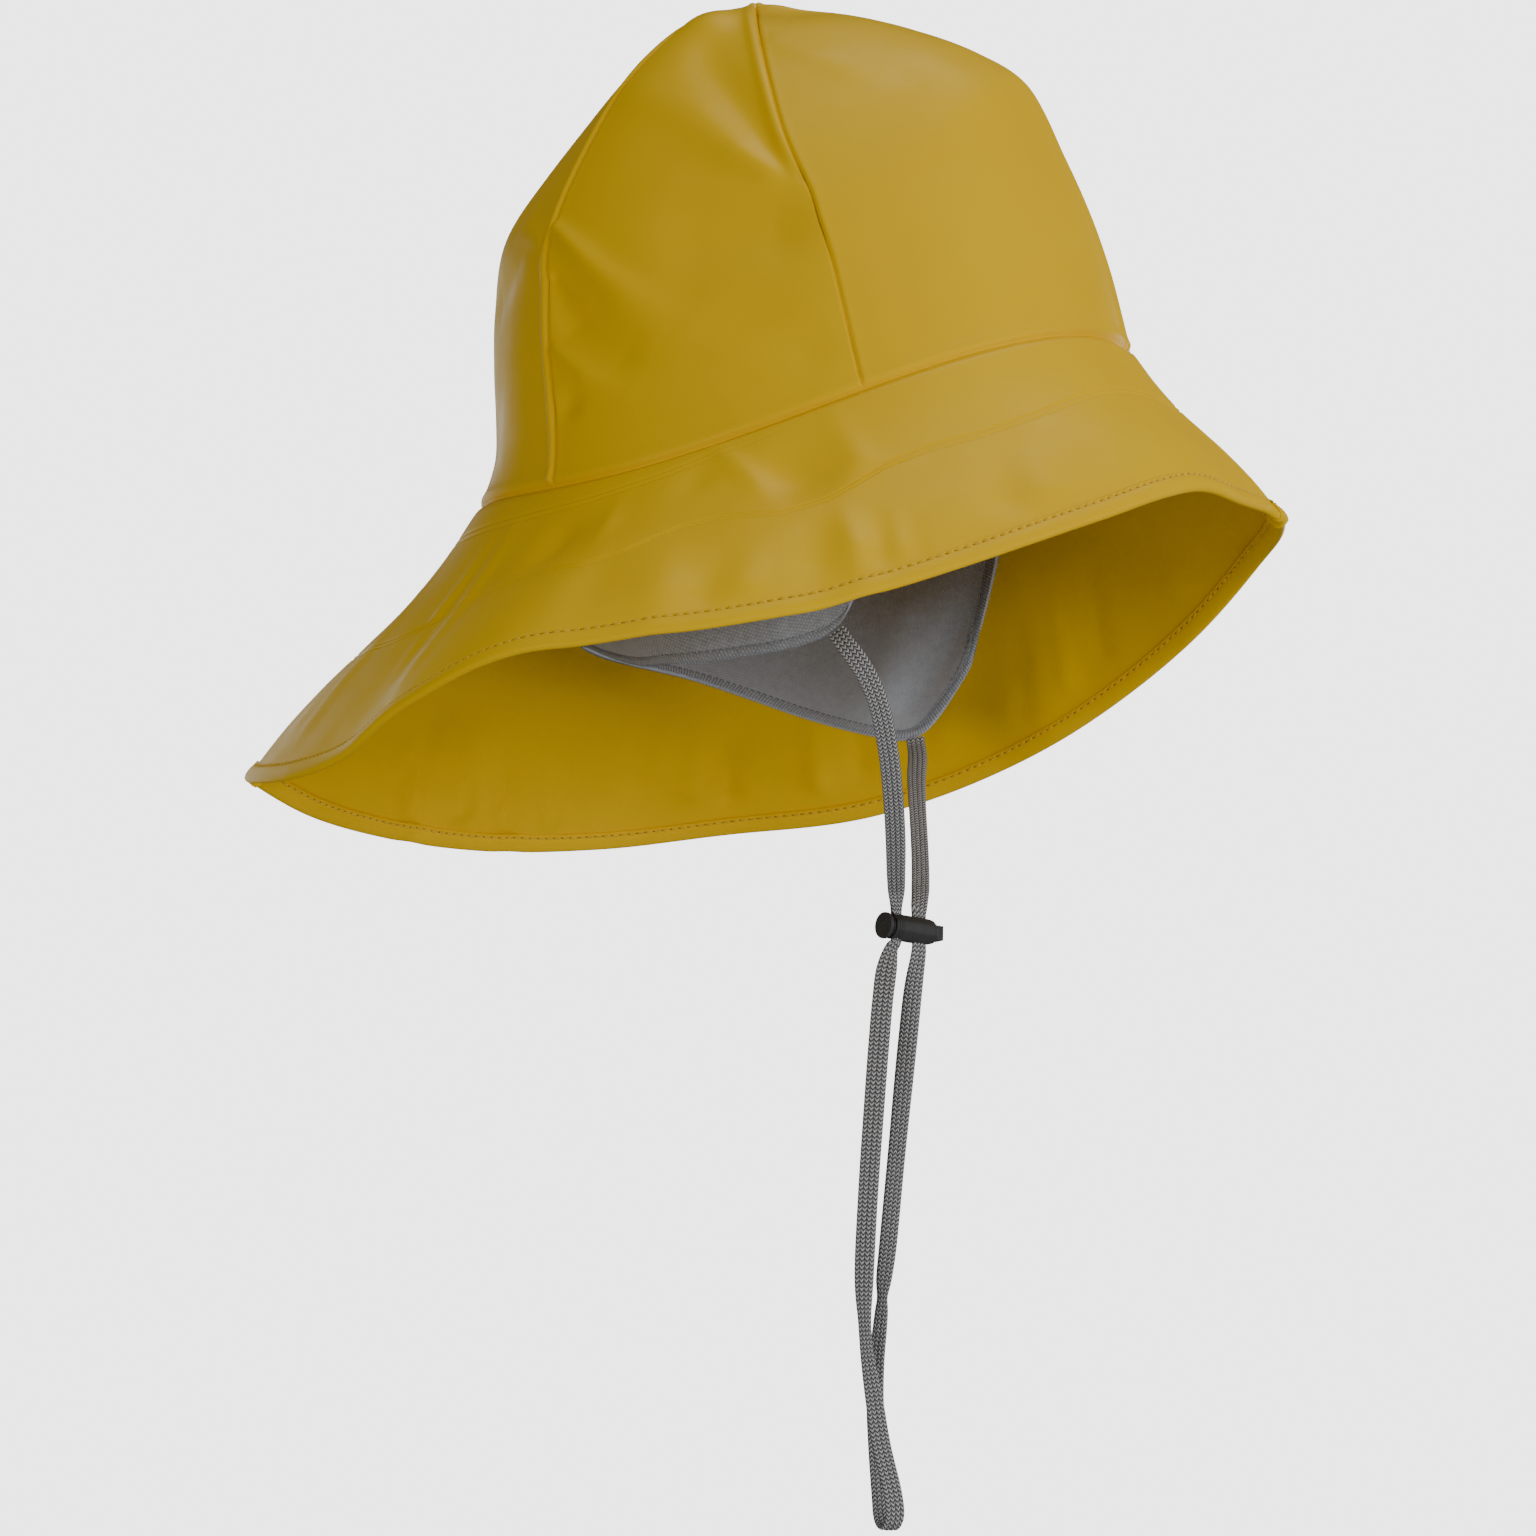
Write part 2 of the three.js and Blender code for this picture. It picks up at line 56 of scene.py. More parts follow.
# Hat
CLOTH = 1.2
SHARP_CLOTH = math.radians(50)
RING_HALF_LENGTH = 102
RING_HALF_WIDTH = 86
RING_SIDE_DIP = 19.5
RING_REAR_DIP = 9.2
RING_SEAM_DEPTH = 1.15
RING_SEAM_WIDTH = 1.2
HAT_PITCH = math.radians(12)
CROWN_HEIGHT = 138.7
APEX_FORWARD = 13.8
APEX_NUB = 1.6
APEX_NUB_WIDTH = 2.5
SEAM_ANGLES = (0, 72, 131, 180)
BRIM_BACK_LENGTH = 108
BRIM_BELLY = 2.4
FRONT_TIP = 0.035
FRONT_TIP_ANGLE = 2.5

# Cloth beside the seams: rolls by height, distance from the seam and width, grooves by depth and width
PLAIN_ROLL = (0.08, 1.5, 1)
FRONT_ROLL = (0.7, 2.2, 1.5)
TEMPLE_ROLL = (0.75, 2.3, 1.8)
TEMPLE_ROLL_LEVEL = 4.9
TEMPLE_ROLL_FADE = 0.6
EAR_ROLL = (0.9, 1.8, 1.2)
BASE_ROLL = (0.5, 2.4, 1.8)
BRIM_ROLL = (0.7, 2.4, 1.6)
FRONT_GROOVE = (1.2, 0.45)
SEAM_GROOVE = (0.75, 0.45)
BRIM_GROOVE = (1.2, 0.5)
CROWN_BASE_GROOVE = 0.6
BRIM_TOP_GROOVE = 1.5
FULL_SEAM_WIDTH = 14

# Lines pressed into the brim, as distances inside its edge
BRIM_LINES = ("lower", "upper")
BRIM_LINE_SPACING = 2
BRIM_LINE_WIDTH = 0.5
BRIM_LINE_DEPTH = 0.32

# Binding
BINDING_WIDTH = 5.5
BINDING_SKIN = 0.75
BINDING_NOSE = 1.3
STITCH_INSET = 4.4
STITCH_SINK = 0.42
STITCH_PITCH = 3
STITCH_LENGTH = 2.3
STITCH_RADIUS = 0.5
HOLE_RADIUS = 0.5
LAP_LENGTH = 9
LAP_THICKNESS = 0.35

# Fleece flap
FLEECE = 2
FLEECE_SEAT = 0.35
STIFF_EDGE = 9
FLAP_DEPTH = 85
FLAP_BULGE = 2.5
FLAP_CORNER = 16
OVERLOCK = 2.6
OVERLOCK_PITCH = 1
OVERLOCK_RADIUS = 0.24
OVERLOCK_SLANT = 0.35
NEEDLE_LENGTH = 1.7
NEEDLE_RADIUS = 0.28
EDGE_ROUNDING = 1.2

# Chin cord
CORD_WIDTH = 6
CORD_RIBS = 4
CORD_RIB_DEPTH = 0.5
CHEVRON_PITCH = 1.3
CHEVRON_SLANT = 0.7
CORD_STEP = 0.4

# Cord lock, along its axis from the button's face
LOCK_FACE = np.array([-8, -25.2, -153.3])
LOCK_AXIS = np.array([0.767, -0.64, -0.03])
LOCK_BODY_START = 2.8
LOCK_BODY_LENGTH = 17
LOCK_RADIUS = 3.9
BARREL_SIDES = 8
BARREL_RADIUS = LOCK_RADIUS - 0.12
BARREL_CORNER = 0.3
LOCK_HOLES = ((5.2, 4), (13.9, 6))
HOLE_WIDTH = 3.2
COLLAR_LENGTH = 2.6
MOUTH_RADIUS = 3.45
MOUTH_DEPTH = 1.4
BUTTON_RADIUS = 4
BUTTON_THICKNESS = 1.3
PISTON_RADIUS = 2.6
PISTON_RIB_RADIUS = 3.2
PISTON_GAP = 0.3
SHARP_PLASTIC = math.radians(32)
CIRCLE_SIDES = 48
PRESS_TRAVEL = 1.2
TAIL_WIDTH = 4.2
TAIL_HEIGHT = 4.4
TAIL_PROJECTION = 2.4
TAIL_GAP = 0.6

# Profiles of the lock: place along the axis and share of the radius
BARREL_MOUTH = (
    (0, 0.86), (0.2, 0.93), (0.7, 0.945), (0.85, 0.9), (1, 0.9), (1.15, 0.945), (1.65, 0.945), (1.8, 0.9),
    (1.95, 0.9), (2.1, 0.945),
)
BARREL_COLLAR = ((0, 0.95), (0.25, 1), (4, 1.005))
BARREL_END = ((-3, 1), (-1.6, 0.96), (-0.8, 0.89), (-0.25, 0.78), (0, 0.68))
BUTTON = (
    (0.22, 0.2), (0.18, 0.55), (0.06, 0.8), (0.1, 0.9), (0, 0.94), (0.12, 0.985), (0.4, 1), (0.9, 1),
    (1.18, 0.985), (BUTTON_THICKNESS, 0.95),
)

# Stage, in metres and watts
FLOOR_RADIUS = 2
FLOOR_HEIGHT = -1.5
LIGHT_AIM = (0, 0, -0.02)
LIGHTS = (
    ("front", (-0.2, -1.95, -0.05), 1.2, 15),
    ("top", (0.1, -0.3, 2), 1.2, 15),
    ("side_rear", (-1.8, 0.75, -0.45), 0.7, 12),
    ("side_front", (-1.3, -1.5, 0.3), 1, 12),
    ("rear", (1.5, 1.3, 0.3), 1, 5),
    ("left", (1.9, -0.6, 0.2), 1, 8),
)
WORLD_LIGHT = 0.08
BACKDROP_LIGHT = 3.5


def columns(text):
    """A table's columns by name. Its first line names them."""
    names, *rows = [line.split() for line in text.strip().splitlines()]
    return {name: np.array([float(row[i]) for row in rows]) for i, name in enumerate(names)}


def folds(text):
    """One fold a line: the points of its crest or trough, each by angle, place, height and width."""
    lines = text.strip().splitlines()
    return [np.array([point.split() for point in line.split(",")], float) for line in lines]


CROWN = columns("""
  front_reach front_rise temple_reach temple_rise temple_turn ear_reach ear_rise back_reach back_rise turn flat
  1      0      1      0      0    1      0      1      0      0  0
  1      0.085  0.975  0.085  0    0.965  0.085  0.94   0.09   0  0.004
  0.995  0.2    0.945  0.19   0    0.942  0.19   0.915  0.19   0  0.008
  0.974  0.33   0.905  0.285  0    0.92   0.3    0.895  0.31   0  0.014
  0.934  0.47   0.865  0.37   0.5  0.89   0.4    0.866  0.44   0  0.022
  0.87   0.642  0.815  0.45   1    0.853  0.5    0.8    0.6    0  0.03
  0.72   0.75   0.7    0.59   3.5  0.71   0.655  0.65   0.725  0  0.035
  0.51   0.845  0.525  0.745  4.5  0.49   0.835  0.43   0.865  0  0.035
  0.285  0.925  0.31   0.885  5    0.27   0.95   0.24   0.965  0  0.03
  0.09   0.985  0.11   0.97   5    0.09   0.99   0.09   0.998  0  0.015
  0.02   1      0.02   0.998  5    0.02   1      0.02   1.001  0  0
""")
TOP_LEVEL = len(CROWN["flat"]) - 1

# Where a panel's grid lies close: shares of its width beside a seam, and levels above the head ring
SEAM_SHARES = np.array([0, 3, 6, 9, 12.5, 17, 22, 28, 36, 46, 58]) / 1000
BASE_LEVELS = np.array([0, 2, 4, 6, 9, 12, 16, 20, 26, 33, 40, 50]) / 100
SEAM_COLUMNS = (
    ("front_reach", "front_rise", "turn"),
    ("temple_reach", "temple_rise", "temple_turn"),
    ("ear_reach", "ear_rise", "turn"),
    ("back_reach", "back_rise", "turn"),
)

BRIM = columns("""
  fan length right_droop left_droop
  0      0.638  62    62
  12.6   0.625  64.4  58.8
  30.1   0.621  61.9  55.4
  55.1   0.674  63.1  60.6
  81.6   0.732  61.6  61.7
  101.3  0.789  56.5  56.2
  116    0.839  47.7  49.2
  129.6  0.879  39.3  40.7
  144    0.912  40.3  39.6
  158.2  0.946  44    39.8
  169.7  0.975  42.2  39.5
  176.5  0.994  38.3  38.5
  180    1      34.5  34.5
""")
BRIM_SAG = (0, 1.1, 1.2, 0.4, -0.4, -0.6, 0)

LINE_DISTANCE = columns("""
  angle lower upper
  0    47    84
  25   46    84
  46   46    84.5
  55   47.5  85
  63   51    85
  69   51.5  85
  76   45.5  85.5
  83   45.5  86
  91   53    86
  96   53    87
  101  44    87
  106  42.5  87
  112  48    88
  119  55    89
  131  58    92
  145  52    94
  165  49    95
  180  49    95
""")

FLAP = columns("""
  ring right_out right_back right_down left_out left_back left_down
  60   0.77   -0.12  0.835  0.81   -0.18  0.915
  66   0.735  -0.09  0.9    0.78   -0.08  0.98
  72   0.73   -0.03  0.93   0.755  0      0.995
  80   0.745  0.06   0.945  0.765  0.08   0.955
  90   0.77   0.17   0.945  0.79   0.17   0.895
  103  0.77   0.34   0.92   0.82   0.31   0.79
  118  0.7    0.44   0.88   0.79   0.44   0.69
  133  0.56   0.53   0.825  0.68   0.59   0.59
  150  0.37   0.64   0.72   0.46   0.725  0.54
  165  0.17   0.745  0.6    0.23   0.775  0.54
  180  0      0.785  0.555  0      0.785  0.555
""")

# The cord's route with its width and thickness, and the heading and lift in degrees of its width
CORD = columns("""
  x y z width thick heading lift
  -62.9  -22.35  -75.5   5.8  1.6  -95  38
  -62.2  -24.6   -79.1   5.8  1.7  -92  40
  -60.4  -27.4   -83     6    1.7  -90  36
  -57.2  -30.2   -88     6    1.7  -86  26
  -52    -32.6   -95.5   6    1.7  -82  16
  -43    -33.6   -107.2  6    1.7  -80  8
  -32    -33     -119.5  6    1.7  -78  4
  -20.5  -31.5   -130.5  6    1.8  -78  2
  -11    -29.8   -138.5  5.6  1.9  -76  0
  -5.2   -28.8   -143.5  5    2.1  -66  0
  -4     -28.5   -147.4  3.8  2.4  -46  0
  -4     -28.5   -149    3.5  2.4  -40  0
  -4.05  -28.3   -157.9  3.5  2.4  -42  0
  -4.4   -27.2   -159.6  4.2  2.3  -58  0
  -4.9   -25.7   -166    6.2  1.8  -78  0
  -5.7   -24.6   -175.5  6.3  1.7  -78  0
  -5.9   -23.3   -190    6.3  1.7  -78  0
  -5.8   -22     -206    6.2  1.7  -78  0
  -5.3   -19.9   -233    6    1.7  -78  0
  -3.9   -18.3   -259    5.6  1.8  -80  0
  -3.6   -18.4   -271    3.9  2.4  -76  0
  -3.4   -19     -280    4    2.3  -70  0
  -3.7   -20.8   -291    5.2  1.9  -68  0
  -4.5   -23.5   -307    5.8  1.7  -62  0
  -4.9   -26.9   -321    6    1.7  -54  0
  -3.9   -27.3   -327    6    1.7  -54  0
  -2.6   -26.4   -329.6  6    1.7  -54  0
  -0.3   -24.8   -330.6  6    1.7  -54  0
  2.1    -23.1   -329.6  6    1.7  -54  0
  3.5    -22.1   -327    6    1.7  -54  0
  4.2    -21.5   -321    6    1.7  -54  0
  3.9    -20.6   -307    5.8  1.7  -58  0
  3.5    -20.1   -293    5.2  1.9  -70  0
  3.9    -20.6   -281    4.6  2.1  -80  0
  4.4    -21.4   -272    4.4  2.2  -70  0
  4.7    -21.9   -266.5  4    2.4  -66  0
  4.8    -22.1   -262.8  3.3  2.6  -66  0
  5      -22.5   -258    4.8  2    -62  0
  5.3    -23.6   -249    5.8  1.7  -54  0
  6      -26.5   -219    6    1.7  -52  0
  5.8    -30     -186    6    1.7  -66  0
  4.4    -32.1   -170    5.8  1.8  -62  0
  2.8    -34     -160    5.2  1.9  -46  0
  2.7    -34.1   -158.2  5.2  1.9  -40  0
  2.7    -34.1   -149    5.4  1.8  -40  0
  2.8    -34.1   -147.4  5.6  1.8  -42  0
  6.4    -33.8   -142.5  5.8  1.8  -44  0
  12     -33     -137.5  6    1.7  -46  0
  21     -31.3   -128.5  6    1.7  -46  0
  31     -29.1   -118    6    1.7  -46  0
  42     -26.6   -106.5  6    1.7  -48  0
  52     -24.6   -97.3   6    1.7  -54  4
  60.6   -23.4   -89.3   6    1.7  -66  10
  64.8   -22.3   -84.9   5.8  1.7  -76  14
  65.8   -21.75  -82.2   5.8  1.6  -80  16
""")


# Folds and dents. Place is the level on the crown, the share of the slope on the brim and of the depth on
# the flap.
CROWN_FOLDS = {
    "crown_side_right": folds("""
        106 7.8 -0.3 6, 95 7.3 -1.2 7, 82 6.6 -1.8 6, 77 5.9 -1.6 4, 73 5.2 -0.7 2.5
        128 6.9 0.3 7, 99 6.5 1.2 8, 85 5.9 1.6 6, 79 5.5 0.8 4
        95 4.3 -2.3 15, 82 4.1 -3.2 12
        130 5.2 1.7 2, 120 4.35 2.5 4, 112 3.4 2 6, 103 2.5 0.6 8
        129 4.2 -1.4 2, 124 3.2 -3.2 6, 115 2.4 -1.7 8
        129 2.8 1 2, 122 2.2 1.6 4, 114 1.7 0.4 6
        127 1.7 -1.4 4.5
        88 2.3 -0.8 10, 80 1.3 -1 8
        112 8.3 2 10
    """),
    "crown_side_left": folds("""
        265 7.4 -1 5, 280 6.3 -1.4 4, 286 5.3 -0.6 2
        262 6.3 1 6, 279 5.6 1 4
        272 4 -1.8 13
        231 5.1 1 2.5, 243 4.2 1.3 5, 254 3 0.4 7
        235 3.1 -1.6 6, 246 2.3 -0.8 8
        284 3.4 0.6 3, 276 3.6 0.3 5
    """),
    "crown_back_right": folds("""
        146 4.6 -0.6 5, 158 4 -1.2 8
        136 5.1 0.8 2.5, 148 5.3 0.8 5
        160 1.8 -0.7 9
    """),
    "crown_back_left": folds("""
        214 4.6 -0.6 5, 200 3.8 -1.2 8
        224 5.1 0.8 2.5, 210 5.4 0.8 5
    """),
    "crown_front_right": folds("""
        66 7.6 0.5 4, 48 6.6 0.5 7
        14 5.6 -0.7 10, 18 4 -0.5 12
        60 2.4 -0.5 12
        62 8.9 -1.5 8, 36 8.5 -2 12
    """),
    "crown_front_left": folds("""
        294 7.6 0.5 4, 312 6.4 0.5 7
        340 4.8 -0.7 11
        302 2.6 -0.5 12
        298 8.9 -1.2 8, 326 8.5 -2 12
    """),
}
BRIM_FOLDS = {
    "brim_right_cloth": folds("""
        82 0.28 -2.6 11
        97 0.03 0.3 3, 92 0.14 1 3.5, 87 0.27 0.9 4, 82 0.46 0 5
        98 0.16 -1 5.5
        77 0.08 0.3 4.5, 73 0.3 0.8 5, 76 0.54 0 5
        119 0.27 -2.1 9
        112 0.12 0 3.5, 109 0.28 1 4, 106 0.46 0 5
        103 0.45 0 6, 101 0.72 -1.3 9, 99 1 -0.6 9
        96 0.5 0 7, 93 0.8 1.2 8, 92 1 0.8 8
        88 0.6 0 6, 88 0.88 -0.8 6
        84 0.55 0 6, 84 0.85 0.7 6
        78 0.55 0 5, 77 0.82 -1.1 6, 77 1 -0.4 6
        75 0.52 0 3.5, 73 0.78 1.3 4.5, 72 1 0.5 5
        70 0.62 0 3, 70 0.88 -0.5 3.4
        68.5 0.6 0 3, 68 0.86 0.45 3.2
        66.5 0.66 0 3, 66 0.9 -0.35 3.2
        53 0.45 0 6, 55 0.8 -0.8 6
        50 0.45 0 5, 50 0.8 0.7 6
        137 0.05 0 4, 134 0.35 1 4.5, 127 0.75 0.8 6, 124 1 0 5
        142 0.1 0 3, 140 0.4 0.9 3, 134 0.8 0 4
        138 0.5 -0.9 4
        160 0.3 0.5 5, 155 0.8 0.6 7
        30 0.4 -0.5 8, 34 0.9 -0.5 9
    """),
    "brim_left_cloth": folds("""
        203 0.5 0 5, 211 0.85 2.6 5, 215 1 0.8 4.5
        212 0.55 0 4, 219 0.88 -2.4 4.5
        219 0.6 0 4, 226 0.88 2.6 4, 229 1 0.5 4
        226 0.6 0 4, 232 0.9 -1.9 4
        238 0.4 0 5, 241 0.75 1.6 6
        246 0.45 0 4, 249 0.82 -1.8 4.5
        250 0.5 0 4, 254 0.86 2 4
        262 0.5 0 4, 264 0.84 -1.9 4
        267 0.45 0 4, 269 0.82 1.7 4.5
        284 0.3 0 5, 280 0.8 -1.2 6
        297 0.25 0 4, 291 0.85 1.5 4.5
        302 0.3 0 4, 298 0.82 -1.5 4
        310 0.25 0 4, 304 0.8 1.5 4
        324 0.3 0 5, 318 0.8 -1.2 5
        334 0.3 0 6, 330 0.85 1 6
        262 0.2 -1.4 9
    """),
}

FLAP_FOLDS = folds("""
    298 0.25 0 6, 296 0.55 3.6 6, 288 0.85 2.2 7
    300 0.45 -1.4 5, 299 0.75 -2.8 5, 295 0.95 -1.2 5
    280 0.4 -2.2 9, 278 0.8 -3 9
    258 0.5 1 10
    75 0.7 1.2 8
    95 0.8 -1 8
""")


def spline(values, place, closed=False):
    """A smooth curve through values, read at place, which counts them from 0."""
    values = np.asarray(values, float)
    place = np.asarray(place, float)
    count = len(values)
    low = np.floor(place).astype(int)
    if closed:
        before, start, end, after = (values[(low + step) % count] for step in (-1, 0, 1, 2))
    else:
        low = np.clip(low, 0, count - 2)
        before, start, end, after = (values[np.clip(low + step, 0, count - 1)] for step in (-1, 0, 1, 2))
    share = place - low
    return 0.5 * (
        2 * start
        + (end - before) * share
        + (2 * before - 5 * start + 4 * end - after) * share**2
        + (3 * start - before - 3 * end + after) * share**3
    )


def unit(vectors):
    return vectors / np.maximum(np.linalg.norm(vectors, axis=-1, keepdims=True), 1e-12)


def bell(distance, width):
    return np.exp(-((distance / width) ** 2))


def raised(distance, roll):
    height, middle, width = roll
    return height * bell(distance - middle, width)


def ring_point(angle):
    """A point of the head ring. Angles run from the front round the wearer's right and the back."""
    turn = np.radians(angle)
    dip = np.sin(turn) ** 2 * (RING_REAR_DIP * np.cos(turn) - RING_SIDE_DIP)
    return np.stack([-RING_HALF_WIDTH * np.sin(turn), -RING_HALF_LENGTH * np.cos(turn), dip], axis=-1)


def crown_point(angle, level):
    angle, level = np.broadcast_arrays(np.asarray(angle, float), np.asarray(level, float))
    from_front = np.where(angle > 180, 360 - angle, angle)
    panel = np.clip(np.searchsorted(SEAM_ANGLES[1:], from_front), 0, 2)
    start = np.choose(panel, SEAM_ANGLES[:3])
    end = np.choose(panel, SEAM_ANGLES[1:])
    across = (from_front - start) / (end - start)
    blend = (1 - np.cos(np.pi * across)) / 2

    def between(part):
        seams = [spline(CROWN[names[part]], level) for names in SEAM_COLUMNS]
        return np.choose(panel, seams[:3]) * (1 - blend) + np.choose(panel, seams[1:]) * blend

    flat = spline(CROWN["flat"], level) * np.sin(np.pi * across)
    reach = between(0) * (1 - flat)
    drift = between(2)
    base = ring_point(np.where(angle > 180, angle - drift, angle + drift))
    return np.stack(
        [
            base[..., 0] * reach,
            -APEX_FORWARD + (base[..., 1] + APEX_FORWARD) * reach,
            base[..., 2] + (CROWN_HEIGHT - base[..., 2]) * between(1),
        ],
        axis=-1,
    )


def round_trip(right, left):
    return np.concatenate([right, left[-2:0:-1]])


BRIM_FAN = round_trip(BRIM["fan"], 360 - BRIM["fan"])
BRIM_LENGTH = round_trip(BRIM["length"], BRIM["length"])
BRIM_DROOP = round_trip(BRIM["right_droop"], BRIM["left_droop"])
BRIM_STATIONS = len(BRIM_FAN)
FAN_SPREAD = BRIM_FAN - np.arange(BRIM_STATIONS) * 360 / BRIM_STATIONS


def brim_length(angle):
    return spline(BRIM_LENGTH, np.asarray(angle) / 360 * BRIM_STATIONS, closed=True) * BRIM_BACK_LENGTH


def brim_point(angle, share):
    angle, share = np.broadcast_arrays(np.asarray(angle, float), np.asarray(share, float))
    place = angle / 360 * BRIM_STATIONS
    fan = np.radians(angle + spline(FAN_SPREAD, place, closed=True))
    droop = np.radians(spline(BRIM_DROOP, place, closed=True))
    slope = share * brim_length(angle)
    along = slope * np.cos(droop)
    down = slope * np.sin(droop) + BRIM_BELLY * spline(BRIM_SAG, share * (len(BRIM_SAG) - 1))
    return ring_point(angle) + np.stack([-along * np.sin(fan), -along * np.cos(fan), -down], axis=-1)


def seam_out(angle):
    """The direction through the cloth at the head ring that crown and brim share."""
    along = ring_point(angle + 0.5) - ring_point(angle - 0.5)
    up = unit(crown_point(angle, 0.2) - crown_point(angle, 0))
    down = unit(brim_point(angle, 0.02) - brim_point(angle, 0))
    return unit(unit(np.cross(up, along)) + unit(np.cross(along, down)))


def ring_turned(normals, angle, distance):
    """Normals that turn, close to the head ring, to the direction that crown and brim share there."""
    share = bell(distance, RING_SEAM_WIDTH)[..., None]
    return unit(normals * (1 - share) + seam_out(angle) * share)


def flap_middle(column, share):
    """The middle of the fleece, from the right front edge round the neck to the left front edge."""

    def around(right, left):
        return spline(np.concatenate([right, left[-2::-1]]), column)

    angle = around(FLAP["ring"], 360 - FLAP["ring"])
    top = ring_point(angle) - (CLOTH + FLEECE_SEAT + FLEECE / 2) * seam_out(angle)
    low = np.stack(
        [
            around(-FLAP["right_out"], FLAP["left_out"]) * RING_HALF_WIDTH,
            around(FLAP["right_back"], FLAP["left_back"]) * RING_HALF_LENGTH,
            -around(FLAP["right_down"], FLAP["left_down"]) * FLAP_DEPTH,
        ],
        axis=-1,
    )
    bulge = unit(top * (1, 1, 0)) * FLAP_BULGE * np.sin(np.pi * share)[..., None]
    return top + (low - top) * share[..., None] + bulge


def tilted(points):
    """Points of the hat's own frame as it is worn."""
    cosine, sine = math.cos(HAT_PITCH), math.sin(HAT_PITCH)
    x, y, z = points[..., 0], points[..., 1], points[..., 2]
    return np.stack([x, y * cosine + z * sine, z * cosine - y * sine], axis=-1)


def grid_normals(grid, outward):
    """Unit normals of a grid of points, on the side that outward points to."""
    normals = unit(np.cross(np.gradient(grid, axis=1), np.gradient(grid, axis=0)))
    facing = np.sign(np.sum(normals * outward, axis=-1).mean())
    return normals * facing


def travelled(grid, axis):
    """The distance along the grid's lines from their first point."""
    steps = np.linalg.norm(np.diff(grid, axis=axis), axis=-1)
    start = np.zeros_like(np.take(steps, [0], axis=axis))
    return np.concatenate([start, np.cumsum(steps, axis=axis)], axis=axis)


def crease(grid, surface, points):
    """How far a fold lifts the grid. Its points are (angle, place, height, width) on the surface."""
    line = surface(points[:, 0], points[:, 1])
    if len(points) == 1:
        return points[0, 2] * bell(np.linalg.norm(grid - line[0], axis=-1), points[0, 3])
    lift = np.zeros(grid.shape[:-1])
    nearest = np.full(lift.shape, np.inf)
    for start, end, first, last in zip(line, line[1:], points, points[1:]):
        span = end - start
        share = np.clip((grid - start) @ span / max(span @ span, 1e-9), 0, 1)
        distance = np.linalg.norm(grid - start - share[..., None] * span, axis=-1)
        height = first[2] + (last[2] - first[2]) * share
        width = first[3] + (last[3] - first[3]) * share
        closer = distance < nearest
        nearest = np.where(closer, distance, nearest)
        lift = np.where(closer, height * bell(distance, width), lift)
    return lift


def fold_lift(grid, surface, table):
    """The lift of every fold in a table."""
    return sum(crease(grid, surface, points) for points in table)


# Meshes


def new_object(name, vertices, faces, materials, slots=None, uv=None):
    mesh = bpy.data.meshes.new(name)
    mesh.from_pydata((np.asarray(vertices) * MM).tolist(), [], [tuple(face) for face in faces])
    for material in materials:
        mesh.materials.append(material)
    if slots is not None:
        mesh.polygons.foreach_set("material_index", np.asarray(slots, np.int32))
    mesh.polygons.foreach_set("use_smooth", np.ones(len(mesh.polygons), bool))
    if uv is not None:
        layer = mesh.uv_layers.new(name="cloth")
        corners = np.zeros(len(mesh.loops), np.int32)
        mesh.loops.foreach_get("vertex_index", corners)
        layer.data.foreach_set("uv", np.asarray(uv, np.float32)[corners].ravel())
    mesh.validate()
    mesh.update()
    piece = bpy.data.objects.new(name, mesh)
    bpy.context.scene.collection.objects.link(piece)
    return piece


def numbered(rows, count):
    """The vertex numbers of a grid."""
    return np.arange(rows * count).reshape(rows, count)


def tube_faces(rings, order=(0, 1, 2, 3)):
    """Quads between neighbouring rings of vertex numbers, with their corners in a chosen order."""
    beside = np.roll(rings, -1, axis=1)
    corners = [rings[:-1], beside[:-1], beside[1:], rings[1:]]
    return np.stack([corners[i] for i in order], axis=-1).reshape(-1, 4).tolist()


def shell(name, outer, inner, materials, uv):
    """A wall of cloth between two grids of points: material 0 outside, 1 inside and on the edges."""
    rows, count = outer.shape[:2]
    index = numbered(rows, count)
    inside = index + rows * count

    def quads(a, b, c, d):
        return np.stack([a, b, c, d], axis=-1).reshape(-1, 4)

    outside_faces = quads(index[:-1, :-1], index[:-1, 1:], index[1:, 1:], index[1:, :-1])
    inside_faces = quads(inside[:-1, :-1], inside[1:, :-1], inside[1:, 1:], inside[:-1, 1:])
    rim = np.concatenate([index[0, :], index[1:, -1], index[-1, -2::-1], index[-2:0:-1, 0]])
    rim_inside = rim + rows * count
    rim_faces = quads(rim, rim_inside, np.roll(rim_inside, -1), np.roll(rim, -1))
    vertices = np.concatenate([outer.reshape(-1, 3), inner.reshape(-1, 3)])
    faces = np.concatenate([outside_faces, inside_faces, rim_faces])
    corner = vertices[outside_faces[len(outside_faces) // 2]]
    normal = np.cross(corner[1] - corner[0], corner[2] - corner[0])
    middle = (rows // 2, count // 2)
    if normal @ (outer[middle] - inner[middle]) < 0:
        faces = faces[:, ::-1]
    slots = np.concatenate([np.zeros(len(outside_faces)), np.ones(len(inside_faces) + len(rim_faces))])
    uv = np.concatenate([uv.reshape(-1, 2), uv.reshape(-1, 2)])
    piece = new_object(name, vertices, faces, materials, slots, uv)
    piece.data.set_sharp_from_angle(angle=SHARP_CLOTH)
    return piece


def fitted(piece, body=HAT, nodes=()):
    if nodes:
        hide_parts(*nodes)
    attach(piece, body)
    return piece


